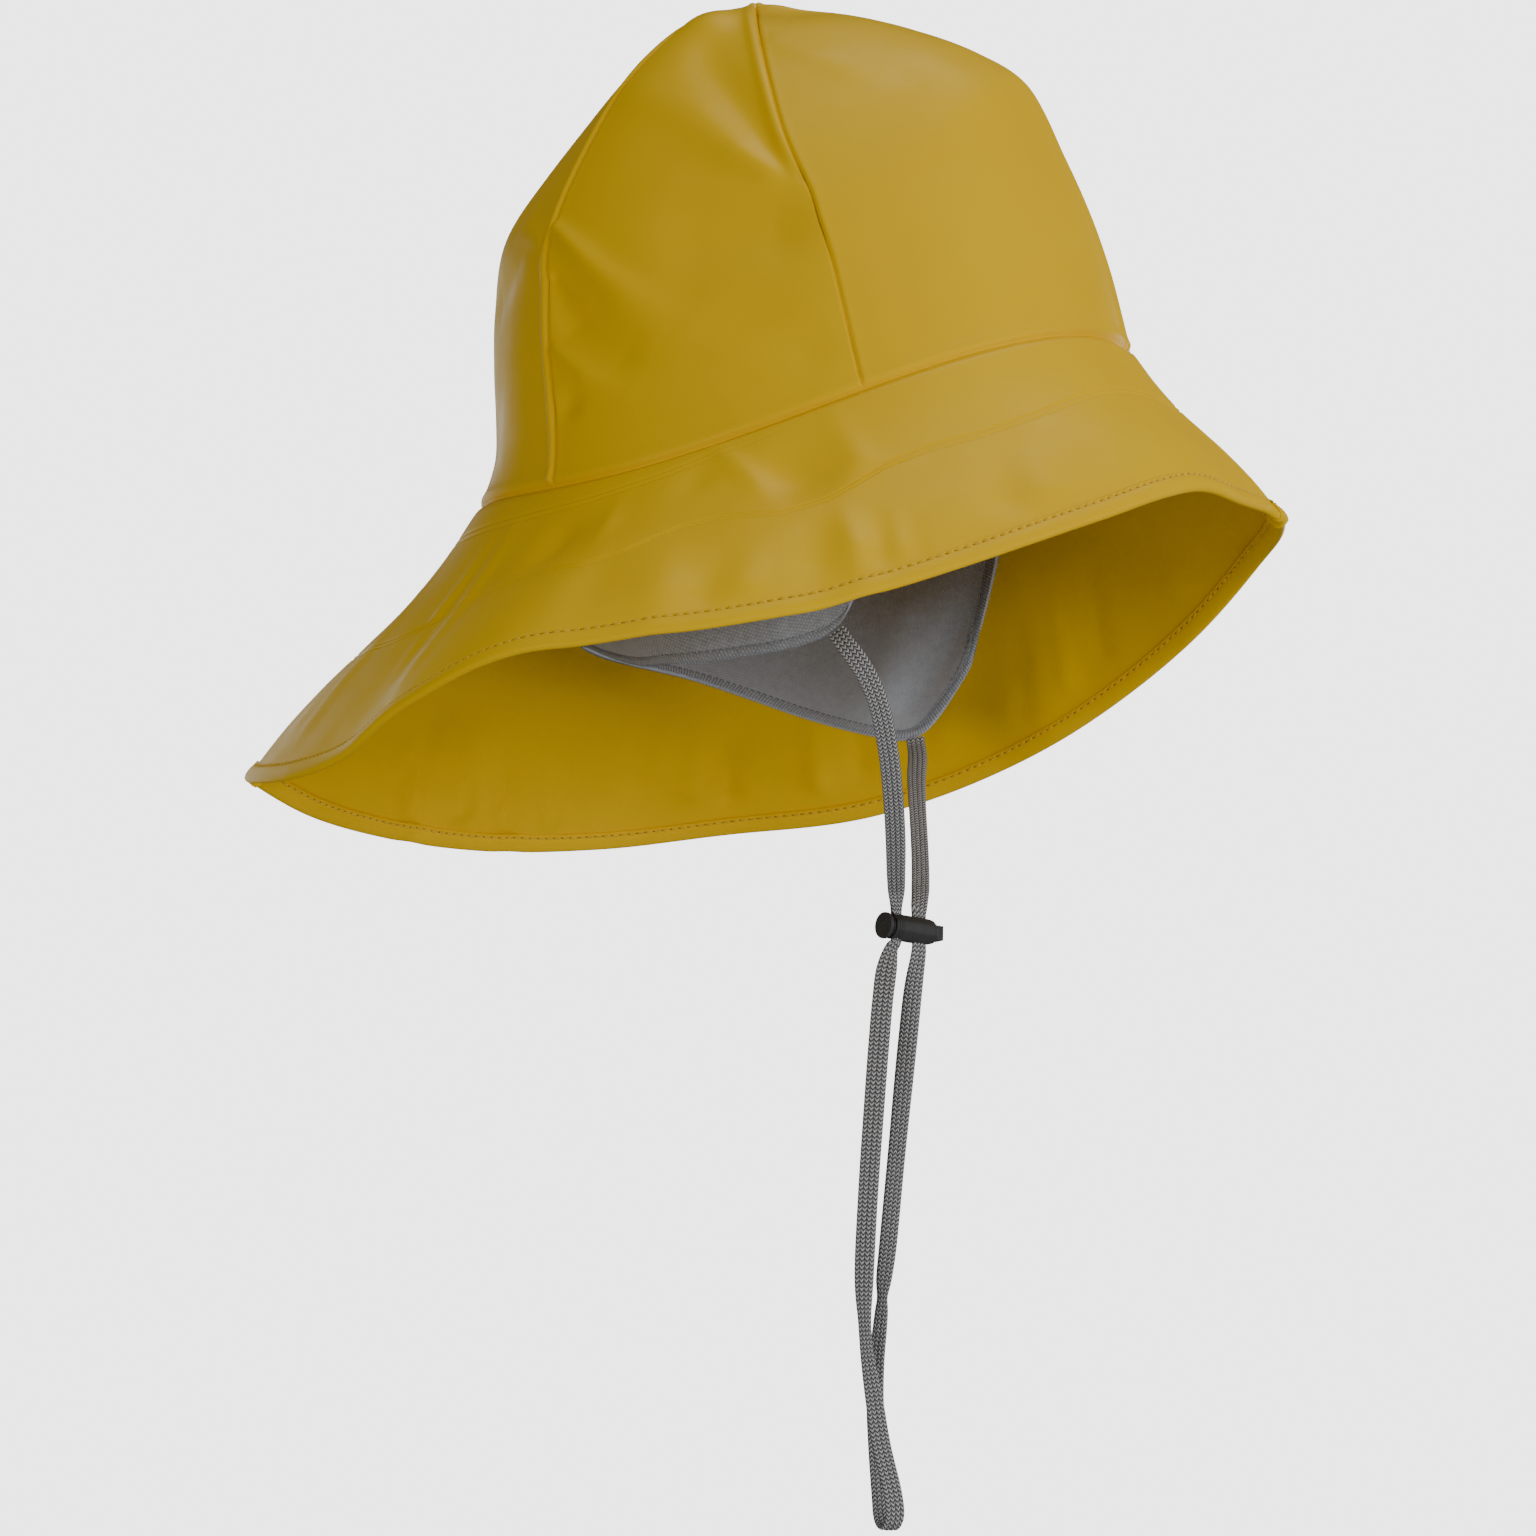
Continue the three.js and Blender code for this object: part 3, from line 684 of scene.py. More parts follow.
def sheet_facts(width, height, area, least_share=0.0):
    """The flat size and area in metres of a sheet that is measured in millimetres."""
    width, height, area = float(width) * MM, float(height) * MM, float(area) * MM * MM
    area = max(area, least_share * width * height)
    return {"flat": (round(width, 3), round(height, 3)), "area": round(area, 5)}


# Materials


def add_node(tree, kind, **values):
    node = tree.nodes.new(kind)
    for name, value in values.items():
        if hasattr(node, name):
            setattr(node, name, value)
        else:
            node.inputs[name.replace("_", " ")].default_value = value
    return node


def surface_material(name, colour, roughness, specular=0.5, sheen=0.0, gloss_tint=(1, 1, 1)):
    material = bpy.data.materials.new(name)
    material.use_nodes = True
    tree = material.node_tree
    shader = tree.nodes["Principled BSDF"]
    shader.inputs["Base Color"].default_value = (*colour, 1)
    shader.inputs["Roughness"].default_value = roughness
    shader.inputs["Specular IOR Level"].default_value = specular
    shader.inputs["Sheen Weight"].default_value = sheen
    shader.inputs["Specular Tint"].default_value = (*gloss_tint, 1)
    return material, tree, shader


def noise(tree, scale, detail=2.0, roughness=0.5):
    """Noise over the object in its own metres."""
    coordinates = add_node(tree, "ShaderNodeTexCoord")
    texture = add_node(tree, "ShaderNodeTexNoise", Scale=scale, Detail=detail, Roughness=roughness)
    tree.links.new(coordinates.outputs["Object"], texture.inputs["Vector"])
    return texture.outputs["Fac"]


def ranged(tree, value, low, high, start=0.3, end=0.7):
    node = add_node(tree, "ShaderNodeMapRange")
    for name, number in (("From Min", start), ("From Max", end), ("To Min", low), ("To Max", high)):
        node.inputs[name].default_value = number
    tree.links.new(value, node.inputs["Value"])
    return node.outputs["Result"]


def tinted(tree, shader, value, dark, light):
    mix = add_node(tree, "ShaderNodeMix", data_type="RGBA")
    mix.inputs[6].default_value = (*dark, 1)
    mix.inputs[7].default_value = (*light, 1)
    tree.links.new(value, mix.inputs[0])
    tree.links.new(mix.outputs[2], shader.inputs["Base Color"])


def bumped(tree, shader, layers):
    """Joins (height, distance in metres, strength) layers in one chain of bumps."""
    previous = None
    for height, distance, strength in layers:
        bump = add_node(tree, "ShaderNodeBump")
        bump.inputs["Distance"].default_value = distance
        bump.inputs["Strength"].default_value = strength
        tree.links.new(height, bump.inputs["Height"])
        if previous is not None:
            tree.links.new(previous.outputs["Normal"], bump.inputs["Normal"])
        previous = bump
    tree.links.new(previous.outputs["Normal"], shader.inputs["Normal"])


def coated_cloth(name, dark, light, roughness, softness=0.12):
    material, tree, shader = surface_material(name, light, roughness, 0.17, gloss_tint=(1, 0.8, 0.2))
    tinted(tree, shader, ranged(tree, noise(tree, 14, 3), 0, 1), dark, light)
    tree.links.new(
        ranged(tree, noise(tree, 60, 3), roughness - 0.05, roughness + 0.06), shader.inputs["Roughness"]
    )
    bumped(tree, shader, [
        (noise(tree, 40, 2), 0.0016, softness),
        (noise(tree, 1500, 2), 0.00006, 0.25),
    ])
    return material


def calculated(tree, operation, first, second=0.0):
    """A Math node over two values, each a socket or a number."""
    node = add_node(tree, "ShaderNodeMath", operation=operation)
    for socket, value in zip(node.inputs, (first, second)):
        if isinstance(value, (int, float)):
            socket.default_value = value
        else:
            tree.links.new(value, socket)
    return node.outputs[0]


def knit(tree, across, along, angle):
    """Rows of stitches over the cloth's own measure, in millimetres."""
    coordinates = add_node(tree, "ShaderNodeUVMap", uv_map="cloth")
    mapping = add_node(tree, "ShaderNodeMapping")
    mapping.inputs["Rotation"].default_value[2] = math.radians(angle)
    tree.links.new(coordinates.outputs["UV"], mapping.inputs["Vector"])
    waves = []
    for direction, pitch in (("X", across), ("Y", along)):
        wave = add_node(tree, "ShaderNodeTexWave", bands_direction=direction, Scale=0.314 / pitch)
        wave.inputs["Distortion"].default_value = 0.6
        wave.inputs["Detail Scale"].default_value = 3
        tree.links.new(mapping.outputs["Vector"], wave.inputs["Vector"])
        waves.append(wave.outputs["Fac"])
    return calculated(tree, "MULTIPLY", *waves)


def fleece_cloth(name, dark, light, pitch, slant):
    material, tree, shader = surface_material(name, light, 0.95, specular=0.2, sheen=0.35)
    rows = knit(tree, pitch, pitch * 0.8, slant)
    fuzz = noise(tree, 900, 4, 0.7)
    mottled = calculated(tree, "ADD", calculated(tree, "ADD", rows, fuzz), noise(tree, 420, 3, 0.6))
    tinted(tree, shader, ranged(tree, mottled, 0, 1, 0.75, 1.95), dark, light)
    bumped(tree, shader, [
        (noise(tree, 110, 4), 0.0014, 0.45),
        (rows, 0.0003, 0.5),
        (fuzz, 0.0004, 0.6),
    ])
    return material


def plain_finish(name, colour, roughness, grain_scale, grain_depth, spread=0.12, specular=0.5):
    material, tree, shader = surface_material(name, colour, roughness, specular)
    dark = tuple(channel * (1 - spread) for channel in colour)
    light = tuple(channel * (1 + spread) for channel in colour)
    tinted(tree, shader, ranged(tree, noise(tree, grain_scale / 4, 3), 0, 1), dark, light)
    bumped(tree, shader, [(noise(tree, grain_scale, 3), grain_depth, 0.5)])
    return material


def braided_cord(name, dark, light):
    """Chevrons in every rib of the braid, coloured by the weave's height: painted shade, darker in the hollows
    between strands and at the rib edges. The cord's measure counts ribs across and millimetres along.
    """
    material, tree, shader = surface_material(name, light, 0.85, 0.25)
    measure = add_node(tree, "ShaderNodeUVMap", uv_map="cloth")
    parts = add_node(tree, "ShaderNodeSeparateXYZ")
    tree.links.new(measure.outputs["UV"], parts.inputs[0])

    def worked(operation, first, second=0.0):
        return calculated(tree, operation, first, second)

    in_rib = worked("FRACT", worked("ADD", parts.outputs[0], 2 * CORD_RIBS))
    from_middle = worked("ABSOLUTE", worked("SUBTRACT", in_rib, 0.5))
    along = worked("MULTIPLY", parts.outputs[1], 1 / CHEVRON_PITCH)
    turns = worked("ADD", along, worked("MULTIPLY", from_middle, 2 * CHEVRON_SLANT))
    wave = worked("SINE", worked("MULTIPLY", turns, 2 * math.pi))
    strand = worked("ADD", worked("MULTIPLY", wave, 0.5), 0.5)
    body = worked("SUBTRACT", 1, worked("POWER", worked("MULTIPLY", from_middle, 2), 5))
    height = worked("MULTIPLY", strand, body)
    # Colour from the height: painted shade, dark in the hollows between strands and at the rib edges, light on
    # the crests.
    tinted(tree, shader, height, dark, light)
    bumped(tree, shader, [(height, 0.0003, 0.8), (noise(tree, 5000, 2), 0.00008, 0.4)])
    return material


YELLOW = coated_cloth("coated_cloth", (0.83, 0.50, 0.0005), (0.87, 0.54, 0.0008), 0.46)
YELLOW_BACK = coated_cloth("coated_cloth_inside", (0.78, 0.47, 0.0005), (0.87, 0.53, 0.0008), 0.55, 0.3)
THREAD = plain_finish("yellow_thread", (0.76, 0.47, 0.008), 0.6, 2500, 0.0001)
# Dark brown for the needle holes between stitches: painted shade in the holes, not a colour of the cloth.
NEEDLE_HOLE_SHADE = plain_finish("needle_hole_painted_shade", (0.40, 0.235, 0.002), 0.8, 2500, 0.0001)
FLEECE_OUTSIDE = fleece_cloth("fleece_knit", (0.26, 0.275, 0.305), (0.46, 0.48, 0.52), 1.1, 35)
FLEECE_INSIDE = fleece_cloth("fleece_nap", (0.34, 0.375, 0.43), (0.5, 0.54, 0.61), 0.8, 10)
OVERLOCK_THREAD = plain_finish("overlock_thread", (0.23, 0.24, 0.265), 0.8, 2500, 0.0002)
BRAID = braided_cord("flat_braid", (0.045, 0.045, 0.046), (0.62, 0.62, 0.626))
BLACK_PLASTIC = plain_finish("black_plastic", (0.042, 0.042, 0.042), 0.6, 1400, 0.00005, 0.12, 0.25)
PALE_FLOOR = plain_finish("pale_floor", (0.75, 0.75, 0.75), 0.9, 30, 0.0001, 0.01)


# Camera


def make_camera():
    data = bpy.data.cameras.new("camera")
    data.lens = LENS
    data.sensor_width = SENSOR
    camera = bpy.data.objects.new("camera", data)
    camera.location = CAMERA_PLACE
    look = Vector(CAMERA_AIM) - Vector(CAMERA_PLACE)
    camera.rotation_mode = "QUATERNION"
    camera.rotation_quaternion = look.to_track_quat("-Z", "Y")
    bpy.context.scene.collection.objects.link(camera)
    bpy.context.scene.camera = camera


# Chin cord


def smooth_route(table, step):
    """Points on the smooth line through the table's x, y and z, with its other columns carried along."""
    rows = np.stack(list(table.values()), axis=-1)
    ends = 2 * rows[[0, -1]] - rows[[1, -2]]
    rows = np.concatenate([ends[:1], rows, ends[1:]])
    gaps = np.sqrt(np.linalg.norm(np.diff(rows[:, :3], axis=0), axis=1))
    made = []
    for i in range(1, len(rows) - 2):
        before, start, end, after = rows[i - 1:i + 3]
        first, middle, last = gaps[i - 1:i + 2]
        span = (end - start) / middle
        leave = ((start - before) / first - (end - before) / (first + middle) + span) * middle
        arrive = (span - (after - start) / (middle + last) + (after - end) / last) * middle
        count = max(1, round(np.linalg.norm((end - start)[:3]) / step))
        share = np.arange(count)[:, None] / count
        made.append(
            start * (2 * share**3 - 3 * share**2 + 1) + leave * (share**3 - 2 * share**2 + share)
            + end * (3 * share**2 - 2 * share**3) + arrive * (share**3 - share**2)
        )
    return np.concatenate([*made, rows[-2:-1]])


def chin_cord(lock):
    route = smooth_route(CORD, CORD_STEP)
    centre, width, thick = route[:, :3], route[:, 3], route[:, 4]
    heading, lift = np.radians(route[:, 5]), np.radians(route[:, 6])
    tangent = unit(np.gradient(centre, axis=0))
    side = np.stack([np.cos(heading) * np.cos(lift), np.sin(heading) * np.cos(lift), np.sin(lift)], axis=-1)
    side = unit(side - np.sum(side * tangent, axis=-1, keepdims=True) * tangent)
    face = np.cross(tangent, side)
    run = travelled(centre, 0)

    per_side = 4 * CORD_RIBS
    spread = np.cos(np.linspace(np.pi, 0, per_side + 1)) * 0.35 + np.linspace(-1, 1, per_side + 1) * 0.65
    across = np.concatenate([spread, spread[-2:0:-1]])
    sign = np.concatenate([np.ones(per_side + 1), -np.ones(per_side - 1)])
    in_rib = np.abs((np.abs(across) * CORD_RIBS / 2) % 1 - 0.5) * 2
    crown = np.sqrt(np.clip(1 - np.abs(across) ** 4, 0, 1))
    groove = CORD_RIB_DEPTH * in_rib**3
    flatness = np.clip(width / CORD_WIDTH, 0.3, 1)[:, None]
    height = (thick[:, None] / 2 - groove * flatness) * crown
    sideways = width[:, None] / 2 * across
    points = (
        centre[:, None]
        + side[:, None] * sideways[..., None]
        + face[:, None] * (sign * height)[..., None]
    )
    index = numbered(*points.shape[:2])
    faces = tube_faces(index) + [index[0].tolist(), index[-1, ::-1].tolist()]
    uv = np.stack(np.broadcast_arrays(across * CORD_RIBS / 2, run[:, None]), axis=-1).reshape(-1, 2)
    piece = new_object("chin_cord", points.reshape(-1, 3), faces, [BRAID], uv=uv)
    fitted(piece, nodes=(
        "chin_cord_right", "chin_cord_loop", "chin_cord_left", "chin_cord_in_lock_1", "chin_cord_in_lock_2",
    ))


# Crown


def crown_panel(name, start, end, mirrored):
    first, last = SEAM_ANGLES[start], SEAM_ANGLES[end]
    across = np.concatenate([SEAM_SHARES, np.linspace(0.07, 0.93, 72), 1 - SEAM_SHARES[::-1]])
    level = np.concatenate([BASE_LEVELS, np.linspace(0.6, TOP_LEVEL, 120)])
    from_front = first + (last - first) * across
    angle = 360 - from_front if mirrored else from_front
    grid = crown_point(angle[None, :], level[:, None])
    outward = grid - np.array([0, -APEX_FORWARD, 0])
    from_left = travelled(grid, 1)
    from_right = from_left[:, -1:] - from_left
    from_base = travelled(grid, 0)
    normals = ring_turned(grid_normals(grid, outward), angle, from_base)
    panel_width = from_left[:, -1:]
    seam_share = np.clip(panel_width / FULL_SEAM_WIDTH, 0, 1)

    lift = fold_lift(grid, crown_point, CROWN_FOLDS[name])
    above_kink = np.clip((level[:, None] - TEMPLE_ROLL_LEVEL) / TEMPLE_ROLL_FADE, 0, 1)
    for distance, seam in ((from_left, start), (from_right, end)):
        roll = raised(distance, PLAIN_ROLL)
        if seam == 2 and start == 2:
            roll = raised(distance, EAR_ROLL)
        elif seam == 1 and start == 1:
            roll = above_kink * raised(distance, TEMPLE_ROLL)
        elif seam == 0:
            roll = raised(distance, FRONT_ROLL)
        depth, width = FRONT_GROOVE if seam == 0 else SEAM_GROOVE
        lift += (roll - depth * bell(distance, width)) * seam_share
    lift += raised(from_base, BASE_ROLL)
    at_ring = bell(from_base, RING_SEAM_WIDTH)
    lift = lift * (1 - at_ring) - RING_SEAM_DEPTH * bell(from_base, CROWN_BASE_GROOVE)
    apex = [0, -APEX_FORWARD, CROWN_HEIGHT]
    lift += APEX_NUB * bell(np.linalg.norm(grid - apex, axis=-1), APEX_NUB_WIDTH)
    outer = grid + normals * lift[..., None]
    inner = outer - ring_turned(grid_normals(outer, outward), angle, from_base) * CLOTH
    uv = np.stack([from_left, from_base], axis=-1)
    piece = shell(name.replace("crown", "panel"), tilted(outer), tilted(inner), [YELLOW, YELLOW_BACK], uv)
    fitted(piece, nodes=(name,))


# Brim


def brim_cloth(name, mirrored):
    near_seam = np.array([0, 0.1, 0.2, 0.3, 0.45, 0.6, 0.8, 1, 1.3, 1.6])
    from_front = np.concatenate([near_seam, np.linspace(2, 178, 294), 180 - near_seam[::-1]])
    angle = 360 - from_front if mirrored else from_front
    length = brim_length(angle)
    lines = {line: np.interp(from_front, LINE_DISTANCE["angle"], LINE_DISTANCE[line]) for line in BRIM_LINES}
    lower = lines["lower"]
    low, high = np.minimum(lines["upper"] - 3, length - 10), np.minimum(lines["upper"] + 3, length - 3)
    spans = [
        (0, lower - 4, 33), (lower - 4, lower + 4, 20), (lower + 4, low, 13), (low, high, 16),
        (high, length - 2, 8), (length - 2, length, 6),
    ]
    same = np.ones_like(length)
    rows = [np.linspace(start * same, end * same, count)[:-1] for start, end, count in spans]
    inside_edge = np.concatenate([*rows, length[None]])
    share = (1 - inside_edge / length) * (1 + FRONT_TIP * bell(from_front, FRONT_TIP_ANGLE))
    grid = brim_point(angle[None, :], share)
    outward = unit(grid * (1, 1, 0)) + np.array([0, 0, 0.8])
    from_seam = length - inside_edge
    normals = ring_turned(grid_normals(grid, outward), angle, from_seam)
    along = travelled(grid, 1)

    lift = fold_lift(grid, brim_point, BRIM_FOLDS[name])
    pressed = np.zeros_like(lift)
    for line in lines.values():
        fade = np.clip((from_seam - 2) / 3, 0, 1) * np.clip((length - line - 2) / 4, 0, 1)
        for offset in (-BRIM_LINE_SPACING / 2, BRIM_LINE_SPACING / 2):
            pressed -= BRIM_LINE_DEPTH * bell(inside_edge - line - offset, BRIM_LINE_WIDTH) * fade
    depth, width = BRIM_GROOVE
    for distance in (along, along[:, -1:] - along):
        lift += raised(distance, BRIM_ROLL) - depth * bell(distance, width)
    at_ring = bell(from_seam, RING_SEAM_WIDTH)
    lift = lift * (1 - at_ring) - RING_SEAM_DEPTH * bell(from_seam, BRIM_TOP_GROOVE)
    outer = grid + normals * lift[..., None]
    inner = outer - ring_turned(grid_normals(outer, outward), angle, from_seam) * CLOTH
    outer += normals * pressed[..., None]
    uv = np.stack([along, from_seam], axis=-1)
    piece = shell(name, tilted(outer), tilted(inner), [YELLOW, YELLOW_BACK], uv)
    fitted(piece, nodes=(name.replace("_cloth", ""),))
    area = np.mean(length) * (along[0, -1] + along[-1, -1]) / 2
    return piece, sheet_facts(along[0, -1], length.max(), area), outer, normals


# Binding and its stitches


def brim_edge(halves):
    """The brim's edge all round: its middle, its direction inwards and its outward normal."""
    (*_, right, right_normals), (*_, left, left_normals) = halves
    inward_row = 5
    outer = np.concatenate([right[:, :-1], left[:, :0:-1]], axis=1)
    normals = np.concatenate([right_normals[:, :-1], left_normals[:, :0:-1]], axis=1)
    normal = unit(normals[0])
    inward = outer[inward_row] - outer[0]
    inward = unit(inward - np.sum(inward * normal, axis=-1, keepdims=True) * normal)
    return outer[0] - normal * CLOTH / 2, inward, normal


def binding_section(extra):
    """The folded strip's outline: distances inside the brim's edge and out from the middle of the cloth."""
    half = CLOTH / 2 + 0.02
    skin = half + BINDING_SKIN + extra
    upper = [
        (BINDING_WIDTH, half), (BINDING_WIDTH, skin - 0.3), (BINDING_WIDTH - 0.25, skin - 0.05),
        (STITCH_INSET + 0.75, skin - 0.02), (STITCH_INSET + 0.35, skin - 0.2),
        (STITCH_INSET, skin - STITCH_SINK), (STITCH_INSET - 0.35, skin - 0.2), (STITCH_INSET - 0.8, skin),
        (2.6, skin + 0.16), (1.2, skin + 0.14), (0, skin), (-0.6, skin - 0.25),
        (-1.05 - extra, skin - 0.7), (-BINDING_NOSE - extra, 0),
    ]
    return np.array(upper + [(x, -y) for x, y in upper[-2::-1]] + [(0, -half), (-0.3, 0), (0, half)])


def strip(name, edge, inward, normal, section, closed):
    points = (
        edge[:, None]
        + inward[:, None] * section[None, :, :1]
        + normal[:, None] * section[None, :, 1:]
    )
    index = numbered(*points.shape[:2])
    faces = tube_faces(np.concatenate([index, index[:1]]) if closed else index)
    if not closed:
        faces += [index[0, ::-1].tolist(), index[-1].tolist()]
    piece = new_object(name, tilted(points).reshape(-1, 3), faces, [YELLOW])
    piece.data.set_sharp_from_angle(angle=SHARP_CLOTH)
    return piece


def binding(edge, inward, normal):
    piece = strip("edge_binding", edge, inward, normal, binding_section(0), True)
    fitted(piece, nodes=("brim_binding",))
    trim = [piece]
    back = len(edge) // 2
    for name, middle in (("front", 0), ("back", back)):
        near = np.linalg.norm(edge - edge[middle], axis=1) < LAP_LENGTH / 2
        order = np.roll(np.arange(len(edge)), back - middle)
        chosen = order[near[order]]
        lap = strip(f"binding_lap_{name}", edge[chosen], inward[chosen], normal[chosen],
                    binding_section(LAP_THICKNESS), False)
        trim.append(fitted(lap))
    return trim


def capsule(length, radius, rings=5, sides=8):
    """Vertices and faces of a rounded rod along X."""
    vertices, faces = [], []
    for ring in range(rings + 1):
        turn = np.pi * ring / rings
        reach = math.sin(turn) ** 0.6 * radius if 0 < ring < rings else 0.02
        for side in range(sides):
            around = 2 * np.pi * side / sides
            across = reach * math.cos(around), reach * math.sin(around)
            vertices.append((-math.cos(turn) * length / 2, *across))
    for low in range(0, rings * sides, sides):
        for side in range(sides):
            after = (side + 1) % sides
            faces.append((low + side, low + after, low + sides + after, low + sides + side))
    faces.append(tuple(range(sides))[::-1])
    faces.append(tuple(range(rings * sides, (rings + 1) * sides)))
    return np.array(vertices), faces


def scattered(name, template, centres, x_axes, z_axes, material):
    """One mesh of many copies of a template, each set by its centre and axes."""
    shape, faces = template
    y_axes = np.cross(z_axes, x_axes)
    axes = np.stack([x_axes, y_axes, z_axes], axis=1)
    points = centres[:, None] + np.einsum("vk,nkj->nvj", shape, axes)
    count = len(shape)
    all_faces = [tuple(i + n * count for i in face) for n in range(len(centres)) for face in faces]
    piece = new_object(name, points.reshape(-1, 3), all_faces, [material])
    return fitted(piece)


def along_line(line, pitch, *fields):
    """Points at an even pitch along a closed line, with the fields read there too."""
    closed = np.concatenate([line, line[:1]])
    run = travelled(closed, 0)
    count = round(run[-1] / pitch)
    stops = np.arange(count) * run[-1] / count
    made = []
    for field in (line, *fields):
        values = np.concatenate([field, field[:1]])
        made.append(np.stack([np.interp(stops, run, values[:, k]) for k in range(3)], axis=-1))
    return made


def binding_stitches(edge, inward, normal):
    skin = CLOTH / 2 + BINDING_SKIN
    centres, inwards, normals = along_line(edge, STITCH_PITCH, inward, normal)
    inwards, normals = unit(inwards), unit(normals)
    forward = unit(np.roll(centres, -1, axis=0) - np.roll(centres, 1, axis=0))
    slant = unit(forward + 0.22 * inwards)
    trim = []
    for label, side in (("upper", 1), ("under", -1)):
        row = centres + inwards * STITCH_INSET + normals * side * (skin - STITCH_SINK + 0.12)
        between = row + forward * STITCH_PITCH / 2
        up = unit(np.cross(slant, np.cross(normals * side, slant)))
        trim.append(scattered(
            f"binding_thread_{label}", capsule(STITCH_LENGTH, STITCH_RADIUS),
            tilted(row), tilted(slant), tilted(up), THREAD,
        ))
        # Dark capsules between the stitches: painted shade of the needle holes.
        trim.append(scattered(
            f"binding_hole_shade_{label}", capsule(2 * HOLE_RADIUS, HOLE_RADIUS * 0.8, 4, 6),
            tilted(between - normals * side * 0.18), tilted(slant), tilted(up), NEEDLE_HOLE_SHADE,
        ))
    return trim


# Fleece flap


def flap_place(angle, share):
    """The middle of the fleece by the ring angle above it, 60 to 300."""
    rings = np.concatenate([FLAP["ring"], 360 - FLAP["ring"][-2::-1]])
    return flap_middle(np.interp(angle, rings, np.arange(len(rings))), np.asarray(share))


def rounded_share(from_ends, depth, share):
    """The share of the depth at which cloth lies, once its lower corners are rounded."""
    inside = np.clip(FLAP_CORNER - from_ends, 0, FLAP_CORNER)
    cut = FLAP_CORNER - np.sqrt(FLAP_CORNER**2 - inside**2)
    return share * (1 - cut / depth)


def fleece_flap():
    base_columns = 2 * (len(FLAP["ring"]) - 1)
    near_end = np.array([0, 2, 4, 7, 10, 14, 19, 25, 32, 40, 50, 62, 76]) / 100
    middle_part = np.linspace(0.9, base_columns - 0.9, 270)
    column = np.concatenate([near_end, middle_part, base_columns - near_end[::-1]])
    share = np.concatenate([np.linspace(0, 0.88, 56)[:-1], np.linspace(0.88, 1, 26)])
    full = flap_middle(*np.broadcast_arrays(column[None, :], share[:, None]))
    hem = travelled(full[-1], 0)
    from_ends = np.minimum(hem, hem[-1] - hem)
    depth = travelled(full, 0)[-1]
    share = rounded_share(from_ends[None, :], depth[None, :], share[:, None])
    middle = flap_middle(np.broadcast_to(column[None, :], share.shape), share)
    outward = middle * (1, 1, 0)
    normals = grid_normals(middle, outward)
    flat_run = travelled(middle, 1)
    from_sides = np.minimum(flat_run, flat_run[:, -1:] - flat_run)
    lift = fold_lift(middle, flap_place, FLAP_FOLDS) * (1 - bell(from_sides, STIFF_EDGE))
    middle = middle + normals * lift[..., None]
    normals = grid_normals(middle, outward)
    from_front = travelled(middle, 1)
    down = travelled(middle, 0)
    sides = np.minimum(from_front, from_front[:, -1:] - from_front)
    from_edge = np.minimum(down[-1:] - down, sides)
    inwards = np.clip(from_edge / EDGE_ROUNDING, 0, 1)
    half = FLEECE / 2 * np.sqrt(np.clip(1 - (1 - inwards) ** 2, 0.04, 1))
    half = half - 0.25 * bell(from_edge - OVERLOCK - 0.3, 0.6)
    outer = middle + normals * half[..., None]
    inner = middle - normals * half[..., None]
    uv = np.stack([from_front, down], axis=-1)
    piece = shell("fleece_flap", tilted(outer), tilted(inner), [FLEECE_OUTSIDE, FLEECE_INSIDE], uv)
    fitted(piece, nodes=("ear_neck_flap",))
    overlock(middle, normals)


def overlock(middle, normals):
    """Thread wrapped over the fleece's free edge on both faces, and the row of stitches inside it."""
    border = np.concatenate([middle[:, 0], middle[-1, 1:-1], middle[::-1, -1]])
    border_normals = np.concatenate([normals[:, 0], normals[-1, 1:-1], normals[::-1, -1]])
    run = travelled(border, 0)
    stops = np.arange(1, run[-1] - 1, OVERLOCK_PITCH)
    points, normal = (
        np.stack([np.interp(stops, run, values[:, k]) for k in range(3)], axis=-1)
        for values in (border, border_normals)
    )
    normal = unit(normal)
    forward = unit(np.gradient(points, axis=0))
    inward = unit(np.cross(forward, normal))
    inward *= np.sign(np.sum(inward * (middle.reshape(-1, 3).mean(0) - points), axis=1).mean())
    slant = unit(inward + OVERLOCK_SLANT * forward)
    needle = slice(0, None, 2)
    threads = []
    for label, side in (("outside", 1), ("inside", -1)):
        across = points + inward * OVERLOCK / 2 + normal * side * (FLEECE / 2 - 0.14)
        threads.append(scattered(
            f"overlock_{label}", capsule(OVERLOCK + 0.5, OVERLOCK_RADIUS, 4, 6),
            tilted(across), tilted(slant), tilted(normal * side), OVERLOCK_THREAD,
        ))
        row = points + inward * (OVERLOCK + 0.4) + normal * side * (FLEECE / 2 - 0.15)
        threads.append(scattered(
            f"overlock_needle_{label}", capsule(NEEDLE_LENGTH, NEEDLE_RADIUS, 4, 6), tilted(row[needle]),
            tilted(forward[needle]), tilted(normal[needle] * side), OVERLOCK_THREAD,
        ))
    return threads


# Cord lock


LOCK_ALONG = unit(LOCK_AXIS)
LOCK_ACROSS = unit(np.cross([0, 0, 1], LOCK_ALONG))
LOCK_BASIS = np.stack([LOCK_ALONG, LOCK_ACROSS, np.cross(LOCK_ALONG, LOCK_ACROSS)])


def lofted(name, sections):
    """A closed body through outlines, given as (along, points across) in the lock's own axes."""
    rings = np.array([[(along, y, z) for y, z in outline] for along, outline in sections])
    points = LOCK_FACE + rings.reshape(-1, 3) @ LOCK_BASIS
    index = numbered(*rings.shape[:2])
    faces = tube_faces(index, (0, 3, 2, 1)) + [index[0].tolist(), index[-1, ::-1].tolist()]
    return new_object(name, points, faces, [BLACK_PLASTIC])


